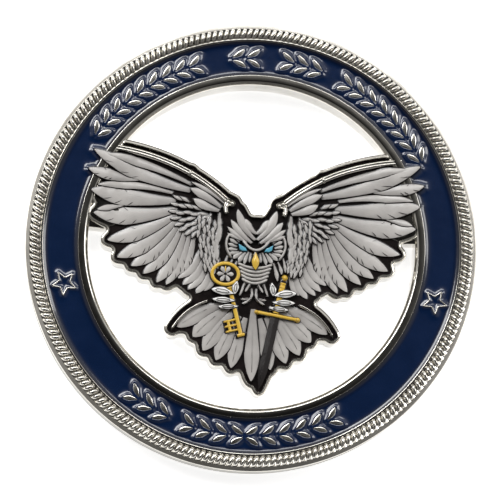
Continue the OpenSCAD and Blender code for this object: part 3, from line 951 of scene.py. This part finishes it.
def matt_back(piece):
    """Gives the recessed faces of the back a sandblasted finish."""
    piece.data.materials.append(finish("sandblasted_nickel"))
    for face in piece.data.polygons:
        if face.normal.z < -0.9 and 0.3 * MM < face.center.z < 0.6 * MM:
            face.material_index = 1


def plain_wall(piece):
    """Gives the plain wall round the coin's edge its smooth, softer finish."""
    piece.data.materials.append(finish("wall_nickel"))
    slot = len(piece.data.materials) - 1
    for face in piece.data.polygons:
        if abs(face.normal.z) < 0.3 and math.hypot(face.center.x, face.center.y) > EDGE_R - 0.1 * MM:
            face.material_index = slot


class COIN_OT_ring(bpy.types.Operator):
    """Models the ring's body, with its rims, lip, channel and recessed back"""

    bl_idname = "coin.ring"
    bl_label = "Ring"

    def execute(self, context):
        ring = context.scene.coin_ring
        hole, inner, outer = ring.opening / MM, ring.channel_inner / MM, ring.channel_outer / MM
        rope_in, rope_out, edge = ring.rope_inner / MM, ring.rope_outer / MM, EDGE_R / MM
        top, floor, back, bevel = ring.rim_z / MM, ring.channel_z / MM, ring.back_depth / MM, ring.bevel / MM
        body = spun("ring_casting", rounded([
            (hole, bevel, 0.06), (hole + bevel, 0, 0.08),
            (inner, 0, 0.06), (inner, back, 0.08), (rope_in, back, 0.08), (rope_in, 0, 0.06),
            (edge - bevel, 0, 0.08), (edge, bevel, 0.08), (edge, top - 0.45, 0.14),
            (rope_out + 0.02, top - 0.04, 0.05), (rope_out - 0.06, top - 0.12, 0), (rope_in + 0.06, top - 0.12, 0),
            (rope_in, top, 0.06), (outer, top, 0.09), (outer, floor, 0),
            (inner, floor, 0), (inner, top, 0.06), (hole + 0.34, top, 0.14), (hole, top - 0.4, 0.12),
        ]), 320)
        in_nickel(body, 50)
        matt_back(body)
        plain_wall(body)
        return {"FINISHED"}


class COIN_OT_rope(bpy.types.Operator):
    """Models one slanted ridge of the rope edge and copies it round the ring"""

    bl_idname = "coin.rope"
    bl_label = "Rope edge"

    def execute(self, context):
        ring = context.scene.coin_ring
        inner, outer, low = ring.rope_inner / MM, ring.rope_outer / MM, ring.rim_z / MM - 0.16
        middle, half_long = (inner + outer) / 2, (outer - inner) / 2
        half_wide = math.pi * middle / ring.ridges * 1.02
        slant = ring.ridge_slant / MM
        ridge = primitive("ridge", bpy.ops.mesh.primitive_uv_sphere_add, segments=10, ring_count=8, radius=1)
        in_edit_mode(
            ridge,
            ("faces", anything, bpy.ops.mesh.bisect,
             {"plane_co": (0, 0, 0), "plane_no": (0, 0, 1), "clear_inner": True, "use_fill": True}),
        )

        def rule(x, y, z):
            fuller = np.sign(y) * np.abs(y) ** 0.72
            return (
                (x * half_wide + fuller * slant / 2) * MM,
                (middle + fuller * half_long) * MM,
                (low + (CREST_Z / MM - 0.01 - low) * z ** 0.85) * MM,
            )

        reshape(ridge, rule)
        outwards(ridge)
        ridges = []
        for i in range(ring.ridges):
            turned = copied(ridge, "rope_edge")
            turned.data.transform(Matrix.Rotation(-TURN * i / ring.ridges, 4, "Z"))
            ridges.append(turned)
        dropped(ridge)
        in_nickel(joined("rope_edge", ridges), 60, "rope_nickel")
        return {"FINISHED"}


def leaf_shape(side):
    """One leaf of a pair, its base at the pair's stem and its tip along +X."""
    return Feather(((0.1, 0.1 * side), (2, 0), 0.36, -0.1 * side), low=3.46, dome=0.1, root=0.25, taper=0.5,
                   groove=0.05)


def leaf_places():
    """Where each leaf of the two sprays stands: (side of its pair, transform in millimetres)."""
    places = []
    for groups, step, start, way in ((TOP_SPRAY, 4.45, 0, -1), (BOTTOM_SPRAY, 5.05, 180, 1)):
        for pairs, first in groups:
            for i in range(pairs):
                angle = first + i * step
                facing = 0 if angle < 0 else 180
                stand = Matrix.Rotation(math.radians(start + way * angle), 4, "Z") @ Matrix.Translation(
                    (math.copysign(1, angle), 21.45, 0))
                for side in (-1, 1):
                    spread = Matrix.Rotation(math.radians(facing + 34 * side), 4, "Z")
                    places.append((side, stand @ spread))
    return places


def star_places():
    return [
        Matrix.Rotation(math.radians(-side * (90 + 14.6)), 4, "Z") @ Matrix.Translation((0, 21.45, 0))
        for side in (-1, 1)
    ]


def star_outline(radius):
    return [
        ((radius if i % 2 == 0 else radius * 0.45) * math.sin(TURN * i / 10),
         (radius if i % 2 == 0 else radius * 0.45) * math.cos(TURN * i / 10))
        for i in range(10)
    ]


def star_line(radius, spacing=8):
    """Points along a star's sides, its corners a little round."""
    corners = [Vector(corner) for corner in star_outline(radius)]
    line = []
    for i, corner in enumerate(corners):
        line += [corners[i - 1].lerp(corner, (k + 0.5) / spacing) for k in range(spacing)]
    return line


def in_millimetres(transform):
    """The transform with its move scaled to metres."""
    scaled = transform.copy()
    scaled.translation *= MM
    return scaled


class COIN_OT_ornament(bpy.types.Operator):
    """Models the laurel leaves and the two stars that stand in the channel"""

    bl_idname = "coin.ornament"
    bl_label = "Laurel and stars"

    def execute(self, context):
        leaves = []
        blank = sheet("leaf_blank", 10, 6)
        models = {}
        for side in (-1, 1):
            models[side] = laid("leaf", [leaf_shape(side)], blank, thick=0.5)
            modified(models[side], "BEVEL", width=0.045 * MM, segments=2, limit_method="ANGLE",
                     angle_limit=math.radians(50))
        for side, place in leaf_places():
            leaf = copied(models[side], "laurel_leaves")
            leaf.data.transform(in_millimetres(place))
            leaves.append(leaf)
        for piece in (blank, *models.values()):
            dropped(piece)
        in_nickel(joined("laurel_leaves", leaves), 45, "cast_nickel")

        star = swept("star", star_line(context.scene.coin_ring.star_radius / MM - 0.1), rounded_bar(0.12, 3.0, 3.56, 7),
                     closed=True)
        stars = []
        for place in star_places():
            stars.append(copied(star, "channel_stars"))
            stars[-1].data.transform(in_millimetres(place))
        dropped(star)
        in_nickel(joined("channel_stars", stars), 60)
        return {"FINISHED"}


def wing_tips():
    """The primary feathers whose tips reach over the rim."""
    return [
        feather for side in (-1, 1)
        for feather in plumage(PRIMARIES, side, bpy.context.scene.coin_owl.wing_shift / MM, 0)
    ]


def wetted_points():
    """Points, in millimetres, along every wall in the channel that the enamel climbs."""
    points = []
    for side, place in leaf_places():
        for x, y in leaf_shape(side).outline(0.02, 40):
            points.append((place @ Vector((x, y, 0))).xy)
    for place in star_places():
        for x, y in star_line(bpy.context.scene.coin_ring.star_radius / MM - 0.1, 20):
            points.append((place @ Vector((x, y, 0))).xy)
    for feather in wing_tips():
        points += [Vector(point) for point in feather.outline(0.16, 240) if np.hypot(*point) > 19.3]
    return points


class COIN_OT_ring_enamel(bpy.types.Operator):
    """Models the blue enamel, which climbs the rims, the leaves, the stars and the wing tips"""

    bl_idname = "coin.ring_enamel"
    bl_label = "Blue enamel"

    def execute(self, context):
        ring = context.scene.coin_ring
        inner, outer, floor = ring.channel_inner / MM, ring.channel_outer / MM, ring.channel_z / MM
        points = wetted_points()
        walls = KDTree(len(points))
        for i, point in enumerate(points):
            walls.insert((point[0], point[1], 0), i)
        walls.balance()
        pool = sheet("ring_enamel_pool", 1500, 44)

        def rule(grid_x, grid_y, _grid_z):
            angle = math.pi * grid_x
            eased = np.sin(0.5 * math.pi * grid_y) * 0.5 + grid_y * 0.5
            radius = (inner + outer) / 2 + eased * (outer - inner) / 2
            x, y = radius * np.cos(angle), radius * np.sin(angle)
            gap = np.minimum(outer - radius, radius - inner)
            near = np.array([walls.find((px, py, 0))[2] for px, py in zip(x, y)])
            gap = np.minimum(gap, near)
            climb = ring.meniscus_rise / MM * np.exp(-((gap / (ring.meniscus_width / MM)) ** 1.3))
            return x * MM, y * MM, np.full_like(x, ENAMEL_Z) + (climb - 0.03) * MM

        reshape(pool, rule)
        merged(pool)
        in_edit_mode(
            pool,
            ("edges", open_edge, bpy.ops.mesh.extrude_edges_move,
             {"TRANSFORM_OT_translate": {"value": (0, 0, -0.001 * MM)}}),
        )
        self.flatten_foot(pool, floor)
        outwards(pool)
        in_enamel(pool, "ring_enamel", "blue", 60)
        return {"FINISHED"}

    def flatten_foot(self, pool, floor):
        """Sets the open edges on the channel's floor and closes the underside between them."""
        mesh = bmesh.new()
        mesh.from_mesh(pool.data)
        for vertex in mesh.verts:
            if vertex.is_boundary:
                vertex.co.z = floor * MM
        mesh.to_mesh(pool.data)
        mesh.free()
        in_edit_mode(pool, ("edges", open_edge, bpy.ops.mesh.bridge_edge_loops, {}))


# ------------------------------------------------------------------ owl


def bed_outline(spacing=0.13):
    """The outer edge of the owl's black bed, anticlockwise, as evenly spaced points in millimetres."""
    bed = copied(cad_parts["owl_black_bed"], "bed_outline")
    merged(bed)
    mesh = bmesh.new()
    mesh.from_mesh(bed.data)
    ahead = {}
    for face in mesh.faces:
        if face.normal.z > 0.9:
            for loop in face.loops:
                if all(other.normal.z < 0.9 for other in loop.edge.link_faces if other is not face):
                    ahead[loop.vert.index] = loop.link_loop_next.vert.index
    places = {vertex.index: (vertex.co.x / MM, vertex.co.y / MM) for vertex in mesh.verts}
    mesh.free()
    dropped(bed)
    loops = []
    while ahead:
        first = next(iter(ahead))
        chain = [first]
        while chain[-1] in ahead:
            chain.append(ahead.pop(chain[-1]))
        loops.append(np.array([places[i] for i in chain]))
    line = max(loops, key=len_around)
    steps = np.hypot(*np.diff(line, axis=0).T)
    walked = np.concatenate([[0], np.cumsum(steps)])
    count = int(walked[-1] / spacing)
    marks = np.linspace(0, walked[-1], count, endpoint=False)
    even = np.stack([np.interp(marks, walked, line[:, k]) for k in (0, 1)], axis=1)
    for _ in range(2):
        even = (np.roll(even, 1, axis=0) + 2 * even + np.roll(even, -1, axis=0)) / 4
    return even


def len_around(line):
    return np.hypot(*np.diff(line, axis=0).T).sum()


class COIN_OT_owl_plate(bpy.types.Operator):
    """Models the owl's plate with its rounded contour line, recessed back and the plates at the wing tips"""

    bl_idname = "coin.owl_plate"
    bl_label = "Owl plate"

    def execute(self, context):
        owl = context.scene.coin_owl
        wide, top, bed = owl.contour_width / MM, owl.contour_z / MM, BED_Z / MM
        section = [
            (0.0, bed - 0.23), (0.0, top - 0.05), (-0.025, top), (-0.07, top), (-0.1, top - 0.04),
            (-wide + 0.1, top - 0.1), (-wide + 0.07, top - 0.06), (-wide + 0.03, top - 0.06), (-wide, top - 0.11),
            (-wide, 0.42), (-wide + 0.06, 0.26), (-wide / 2 - 0.05, 0.2), (-wide / 2 + 0.08, 0.22), (0.0, 0.32),
            (0.02, 0.55),
        ]
        plate = swept("owl_plate", bed_outline(), section, closed=True, tube=False)
        in_nickel(plate, 50)
        matt_back(plate)
        webs = []
        for side in (-1, 1):
            corners = [(side * x + owl.wing_shift / MM, y) for x, y in WEB][::side]
            webs.append(pillow("wing_tip_webs", corners, 0.4, bed + 0.16, 0.08))
        in_nickel(joined("wing_tip_webs", webs), 40)
        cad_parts["owl_black_bed"].data.materials.clear()
        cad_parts["owl_black_bed"].data.materials.append(finish("black_enamel"))
        return {"FINISHED"}


class COIN_OT_bars(bpy.types.Operator):
    """Models the polished bars along the wings' leading edges and along the outer tail feathers"""

    bl_idname = "coin.bars"
    bl_label = "Leading edge bars"

    def execute(self, context):
        owl = context.scene.coin_owl
        low = BED_Z / MM - 0.1
        wing, body = owl.wing_shift / MM, owl.body_shift / MM
        bars, tail_bars = [], []
        for side in (-1, 1):
            way = quad_point(WING_BAR, np.linspace(0, 1, 60))
            bars.append(swept("wing_bars", shifted(way, wing, side), rounded_bar(0.38, low, 3.6, 13, 0.07), 0.02))
            way = quad_point(SHOULDER_BAR, np.linspace(0, 1, 16))
            bars.append(swept("wing_bars", shifted(way, wing, side), rounded_bar(0.26, low, 3.56, 11, 0.05), 0.12))
            for x, y in shifted([quad_point(WING_BAR, 0.37), WING_BAR[0], SHOULDER_KNOB], wing, side):
                bars.append(button("wing_bars", (x, y), 0.42, 0.42, low, 3.7))
            way = quad_point(TAIL_BAR, np.linspace(0, 1, 30))
            tail_bars.append(swept("tail_bars", shifted(way, body, side), rounded_bar(0.15, low, 3.5, 9), 0.04))
        for name, parts in (("wing_bars", bars), ("tail_bars", tail_bars)):
            in_nickel(joined(name, parts), 45)
        return {"FINISHED"}


def side_name(side, what):
    return f"{'right' if side > 0 else 'left'}_{what}"


def grey_with_outline(name, feathers, blank, outline, node=None, drop=0.05, thick=0.25, black_name=None):
    """Grey feathers, and the slightly wider black ones under them that draw their outlines."""
    in_enamel(laid(name, feathers, blank, thick=thick), node or name, "grey", 50)
    in_black(laid(black_name or f"{name}_outline", feathers, blank, outline, drop, thick), 50)


class COIN_OT_flight_feathers(bpy.types.Operator):
    """Models the primary, secondary and inner feathers of both wings, with their outlines and slits"""

    bl_idname = "coin.flight_feathers"
    bl_label = "Flight feathers"

    def execute(self, context):
        owl = context.scene.coin_owl
        wing, outline = owl.wing_shift / MM, owl.outline / MM
        blank = sheet("feather_blank", 28, 10)
        slit_blank = sheet("slit_blank", 6, 2)
        for side in (-1, 1):
            everything = plumage(
                PRIMARIES + SECONDARIES + INNERS, side, wing, 3.04, 0.006,
                dome=owl.dome / MM, tilt=owl.shingle / MM, lift=over_rim)
            groups = (
                ("primary_feathers", everything[:7]), ("secondary_feathers", everything[7:14]),
                ("inner_feathers", everything[14:]),
            )
            for what, feathers in groups:
                grey_with_outline(side_name(side, what), feathers, blank, outline)
            slits = []
            for i, feather in enumerate(everything[:14]):
                if feather.half < 0.6:
                    continue
                for k, (start, end, reach) in enumerate(((0.86, 0.76, 0.3), (0.7, 0.61, 0.4), (0.56, 0.5, 0.5))):
                    wander = 0.02 * math.sin(7.3 * i + 2.9 * k)
                    free = -side
                    slits.append(feather.lay_slit(
                        copied(slit_blank, "slits"),
                        (start + wander, free * 0.98), (end + wander, free * reach), 0.075))
                wander = 0.05 * math.sin(4.1 * i)
                slits.append(feather.lay_slit(
                    copied(slit_blank, "slits"), (0.66 + wander, side * 0.98), (0.61 + wander, side * 0.62), 0.06))
            piece = joined(side_name(side, "feather_slits"), slits)
            merged(piece)
            modified(piece, "SOLIDIFY", thickness=0.05 * MM, offset=-1)
            in_black(piece)
        dropped(blank)
        dropped(slit_blank)
        return {"FINISHED"}


def covert_rows(side, shift):
    """The small feathers between the shoulder and the flight feathers: a fan of rows and a column by the body."""
    feathers = []
    form = {"dome": 0.08, "root": 0.1, "taper": 0.45}
    for row in range(5):
        part = 1 - row * 0.17
        count = round(9 * part)
        for i in range(count):
            angle = -64 + 100 * (i + (row % 2) / 2) / count
            reach = part * (4.7 + min(0, angle) / 40)
            way = np.array((math.cos(math.radians(angle)), math.sin(math.radians(angle))))
            tip = np.array((5, 3.2)) + reach * way
            feathers.append(Feather((tuple(tip - 1.12 * way), tuple(tip), 0.21, 0), side, shift,
                                    low=3.16 + 0.035 * row + 0.012 * (i % 2), **form))
    for row in range(8):
        for lane in range(-2, 3):
            t = (row + 0.5 * (abs(lane) % 2)) / 8
            left = quad_left(COVERT_COLUMN, t)
            base = quad_point(COVERT_COLUMN, t) + lane * 0.6 * (1 - 0.5 * t) * left
            lean = math.radians(9 * math.sin(2.3 * row + 1.7 * lane))
            x, y = left[1], -left[0]
            way = np.array((
                x * math.cos(lean) - y * math.sin(lean),
                x * math.sin(lean) + y * math.cos(lean)))
            tip = base + 1.12 * way
            feathers.append(Feather((tuple(base), tuple(tip), 0.21, 0), side, shift,
                                    low=3.4 - 0.02 * row + 0.045 * (lane % 2), **form))
    return feathers


class COIN_OT_coverts(bpy.types.Operator):
    """Models the small feathers at the shoulders and their three larger ones"""

    bl_idname = "coin.coverts"
    bl_label = "Coverts and shoulders"

    def execute(self, context):
        wing = context.scene.coin_owl.wing_shift / MM
        blank = sheet("covert_blank", 7, 4)
        shoulder_blank = sheet("shoulder_blank", 20, 8)
        for side in (-1, 1):
            grey_with_outline(side_name(side, "covert_feathers"), covert_rows(side, wing), blank, 0.1, drop=0.03)
            shoulders = plumage(SHOULDERS, side, wing, 3.44, 0.02, dome=0.1, tilt=0.03)
            grey_with_outline(side_name(side, "shoulder_feathers"), shoulders, shoulder_blank, 0.1, thick=0.4)
        dropped(blank)
        dropped(shoulder_blank)
        return {"FINISHED"}


class COIN_OT_tail(bpy.types.Operator):
    """Models the tail feathers, each with a dark shaft line"""

    bl_idname = "coin.tail"
    bl_label = "Tail"

    def execute(self, context):
        owl = context.scene.coin_owl
        body, outline = owl.body_shift / MM, owl.outline / MM
        blank = sheet("tail_blank", 24, 10)
        slit_blank = sheet("shaft_blank", 10, 2)
        everything = []
        for side in (-1, 1):
            feathers = plumage(TAIL_SIDE, side, body, 3.02, 0.012, dome=0.1, tilt=0.05)
            grey_with_outline(side_name(side, "tail_feathers"), feathers, blank, outline)
            everything += feathers
        centre = plumage([TAIL_CENTRE], 1, body, 3.14, dome=0.12)
        grey_with_outline("centre_tail_feather", centre, blank, outline)
        shafts = [
            feather.lay_slit(copied(slit_blank, "tail_shafts"), (0.3, 0), (0.88, 0.02), 0.05)
            for feather in everything + centre
        ]
        piece = joined("tail_shafts", shafts)
        merged(piece)
        modified(piece, "SOLIDIFY", thickness=0.05 * MM, offset=-1)
        in_black(piece)
        dropped(blank)
        dropped(slit_blank)
        return {"FINISHED"}


class COIN_OT_head(bpy.types.Operator):
    """Models the crown, brow, face feathers, face rims, eyes and beak"""

    bl_idname = "coin.head"
    bl_label = "Head"

    def execute(self, context):
        body = context.scene.coin_owl.body_shift / MM
        low = BED_Z / MM - 0.1
        blank = sheet("head_blank", 16, 6)
        crown, face = [], []
        for side in (-1, 1):
            crown += plumage(CROWN, side, body, 3.42, 0.014, dome=0.1, tilt=0.02)
            face += plumage(FACE, side, body, 3.28, 0.004, dome=0.07)
        grey_with_outline("crown_feathers", crown, blank, 0.07, thick=0.5)
        grey_with_outline("face_feathers", face, blank, 0.07, thick=0.4)
        brow = swept("brow_band", shifted(quad_point(BROW, np.linspace(0, 1, 28)), body),
                     rounded_bar(0.17, low, 3.54), 0.2)
        in_enamel(brow, "brow_band", "grey", 50, "plain_grey_enamel")
        edge = swept("brow_outline", shifted(quad_point(BROW, np.linspace(0, 1, 28)), body),
                     rounded_bar(0.25, low, 3.46), 0.2)
        in_black(edge, 50)
        for side in (-1, 1):
            rim = swept(side_name(side, "face_rim"), shifted(quad_point(FACE_RIM, np.linspace(0, 1, 24)), body, side),
                        rounded_bar(0.14, low, 3.44), 0.15)
            in_enamel(rim, side_name(side, "face_rim"), "grey", 50, "plain_grey_enamel")
            corners = shifted(EYE, body, side)[::side]
            eye = pillow(side_name(side, "eye"), corners[::-1], low, 3.52, 0.07)
            in_enamel(eye, side_name(side, "eye"), "pale_blue", 40)
        beak = plumage([BEAK], 1, body, 3.46, dome=0.1, ridge=0.12, root=0.1, taper=0.45)
        in_enamel(laid("beak", beak, blank, thick=0.6), "beak", "yellow", 60)
        in_black(laid("beak_outline", beak, blank, 0.09, 0.06, 0.6), 60)
        dropped(blank)
        return {"FINISHED"}


class COIN_OT_breast_and_legs(bpy.types.Operator):
    """Models the bands of the breast, the leg feathers and the claws"""

    bl_idname = "coin.breast_and_legs"
    bl_label = "Breast, legs and claws"

    def execute(self, context):
        body = context.scene.coin_owl.body_shift / MM
        low = BED_Z / MM - 0.1
        bands = []
        for row in range(5):
            y, half = -2.5 - 0.43 * row, 2.05 - 0.14 * row
            path = quad_point(((-half, y + 0.5), (0, y - 0.6), (half, y + 0.5)), np.linspace(0, 1, 24))
            bands.append(swept("breast_feathers", shifted(path, body), rounded_bar(0.165, low, 3.3 - 0.01 * row), 0.1))
        in_enamel(joined("breast_feathers", bands), "breast_feathers", "grey", 50, "plain_grey_enamel")
        blank = sheet("claw_blank", 14, 6)
        for side in (-1, 1):
            legs = plumage(LEGS, side, body, 3.22, dome=0.06)
            grey_with_outline(side_name(side, "leg_feathers"), legs, blank, 0.06, thick=0.35)
            claws = plumage(CLAWS, side, body, 3.56, 0.01, dome=0.1, root=0.1, taper=0.45)
            name = side_name(side, "talons")
            in_enamel(laid(name, claws, blank, thick=0.6), name, "white", 50)
            in_black(laid(f"{name}_outline", claws, blank, 0.08, 0.06, 0.6), 50)
            self.nail_lines(side, claws)
        dropped(blank)
        return {"FINISHED"}

    def nail_lines(self, side, claws):
        """A thin black line inside each claw."""
        rings = []
        for claw in claws:
            t = np.concatenate([np.linspace(0.2, 0.82, 12), np.linspace(0.82, 0.2, 12)[1:-1]])
            u = np.concatenate([np.full(12, 0.42), np.full(10, -0.42)])
            u[[0, 11]] = 0
            x, y = claw.point(t, u)
            rings.append(swept("nail", np.stack([x, y], axis=1), rounded_bar(0.06, claw.low - 0.05, claw.low + 0.12, 5),
                               closed=True))
        in_black(joined(side_name(side, "nail_lines"), rings), 60)


class COIN_OT_key(bpy.types.Operator):
    """Models the key: its bow with a rosette, shaft, collar and bit"""

    bl_idname = "coin.key"
    bl_label = "Key"

    def execute(self, context):
        body = context.scene.coin_owl.body_shift / MM
        low = BED_Z / MM - 0.1
        bow = np.array((-3.3 + body, -3.4))
        neck, end = np.array((-2.8 + body, -4.7)), np.array((-1.25 + body, -10.2))
        way = (end - neck) / np.linalg.norm(end - neck)
        across = np.array((way[1], -way[0]))
        yellow = [
            swept("key", oval_path(bow, 1.48, 1.2), rounded_bar(0.23, low, 3.5), closed=True),
            swept("key", line_path(neck, end + 0.2 * way, 20), rounded_bar(0.27, low, 3.42), 0.03),
            swept("key", line_path(bow + (0, 0.15), bow + (0, 1.05)), rounded_bar(0.1, low, 3.36, 7), 0.3),
        ]
        for along, half, wide in ((0.25, 0.42, 0.13), (0.95, 0.38, 0.1)):
            spot = neck + along * way
            yellow.append(swept("key", line_path(spot - half * across, spot + half * across),
                                rounded_bar(wide, low, 3.5, 7), 0.3))
        yellow.append(swept(
            "key", line_path(end - 0.55 * across, end + 0.55 * across), rounded_bar(0.22, low, 3.46), 0.2))
        web = end - 2 * way + 1.05 * across
        yellow.append(swept("key", line_path(web, web + 1.45 * way), rounded_bar(0.2, low, 3.38), 0.05))
        for tooth in range(3):
            root = end - (2 - tooth * 0.585 - 0.14) * way
            yellow.append(swept("key", line_path(root, root + 1.7 * across), rounded_bar(0.14, low, 3.4, 7), 0.06))
        in_enamel(joined("key", yellow), "key", "yellow", 50)

        blank = sheet("petal_blank", 8, 4)
        petals = []
        for i in range(6):
            out = np.array((math.cos(TURN * i / 6), math.sin(TURN * i / 6)))
            petals.append(Feather((tuple(bow + 0.16 * out), tuple(bow + 0.95 * out), 0.24, 0), low=3.32, dome=0.06))
        grey_with_outline("key_rosette", petals, blank, 0.06)
        dropped(blank)
        outline = [
            swept("key_outline", oval_path(bow, 1.48, 1.2), rounded_bar(0.33, low, 3.34), closed=True),
            pillow("key_outline", oval_path(bow, 1.4, 1.12), low, 3.3, 0.03),
            swept("key_outline", line_path(neck, end + 0.2 * way, 12), rounded_bar(0.37, low, 3.3)),
            swept("key_outline", line_path(web, web + 1.45 * way), rounded_bar(0.72, low, 3.22)),
            swept("key_outline", line_path(end - 0.64 * across, end + 0.64 * across), rounded_bar(0.31, low, 3.3)),
        ]
        in_black(joined("key_outline", outline), 50)
        return {"FINISHED"}


class COIN_OT_dagger(bpy.types.Operator):
    """Models the dagger: pommel, ringed grip, guard and black blade"""

    bl_idname = "coin.dagger"
    bl_label = "Dagger"

    def execute(self, context):
        body = context.scene.coin_owl.body_shift / MM
        low = BED_Z / MM - 0.1
        shift = np.array((body, 0))
        pommel = button("dagger_pommel", np.array((3.4, -3.55)) + shift, 0.38, 0.44, low, 3.58)
        in_enamel(pommel, "dagger_pommel", "yellow", 60)

        top, foot = np.array((3.25, -4.1)) + shift, np.array((2.55, -7.55)) + shift
        way = (foot - top) / np.linalg.norm(foot - top)
        across = np.array((-way[1], way[0]))
        grip = [swept("dagger_grip", line_path(top, foot, 12), rounded_bar(0.36, low, 3.42))]
        for i in range(9):
            spot = top + way * (0.12 + 0.4 * i)
            grip.append(swept("dagger_grip", line_path(spot - 0.4 * across, spot + 0.4 * across),
                              rounded_bar(0.13, low, 3.48, 7), 0.2))
        in_enamel(joined("dagger_grip", grip), "dagger_grip", "yellow", 50)

        left, right = np.array((0.3, -7.5)) + shift, np.array((5, -8.2)) + shift
        guard = [
            swept("dagger_guard", line_path(left, right, 24), rounded_bar(0.22, low, 3.52), 0.03),
            button("dagger_guard", left + (0.05, 0), 0.27, 0.27, low, 3.52),
            button("dagger_guard", right, 0.36, 0.36, low, 3.56),
        ]
        in_enamel(joined("dagger_guard", guard), "dagger_guard", "yellow", 50)

        blank = sheet("blade_blank", 20, 4)
        blade = [Feather(((2.45, -8.1), (1, -16.1), 0.525, 0), shift=body, low=3.18, dome=0.0, ridge=0.14,
                         root=1, taper=0.66)]
        settled(laid("dagger_blade", blade, blank, thick=0.35), ["dagger_blade"],
                finish("black_enamel"), 20)
        dropped(blank)
        outline = [
            swept("dagger_outline", line_path(left, right, 12), rounded_bar(0.31, low, 3.36), 0.03),
            button("dagger_outline", right, 0.46, 0.46, low, 3.34),
            swept("dagger_outline", line_path(top - 0.9 * way, foot, 12), rounded_bar(0.5, low, 3.3), 0.06),
        ]
        in_black(joined("dagger_outline", outline), 50)
        return {"FINISHED"}


class COIN_PT_pieces(bpy.types.Panel):
    """Lists the coin's pieces"""

    bl_idname = "COIN_PT_pieces"
    bl_label = "Owl Challenge Coin"
    bl_space_type = "VIEW_3D"
    bl_region_type = "UI"
    bl_category = "Coin"

    def draw(self, context):
        for operator in OPERATORS:
            self.layout.operator(operator.bl_idname)


SETTINGS = {
    "coin_ring": CoinRingSizes,
    "coin_owl": CoinOwlSizes,
    "coin_finishes": CoinFinishes,
    "coin_stage": CoinStageSettings,
}
OPERATORS = (
    COIN_OT_stage, COIN_OT_ring, COIN_OT_rope, COIN_OT_ornament, COIN_OT_ring_enamel, COIN_OT_owl_plate,
    COIN_OT_bars, COIN_OT_flight_feathers, COIN_OT_coverts, COIN_OT_tail, COIN_OT_head, COIN_OT_breast_and_legs,
    COIN_OT_key, COIN_OT_dagger,
)
CLASSES = (*SETTINGS.values(), *OPERATORS, COIN_PT_pieces)


def register():
    for cls in CLASSES:
        bpy.utils.register_class(cls)
    for name, settings in SETTINGS.items():
        setattr(bpy.types.Scene, name, PointerProperty(type=settings))


def unregister():
    for name in SETTINGS:
        delattr(bpy.types.Scene, name)
    for cls in reversed(CLASSES):
        bpy.utils.unregister_class(cls)


def main():
    register()
    bpy.ops.object.select_all(action="DESELECT")
    for operator in OPERATORS:
        module, name = operator.bl_idname.split(".")
        getattr(getattr(bpy.ops, module), name)()


if __name__ == "__main__":
    main()
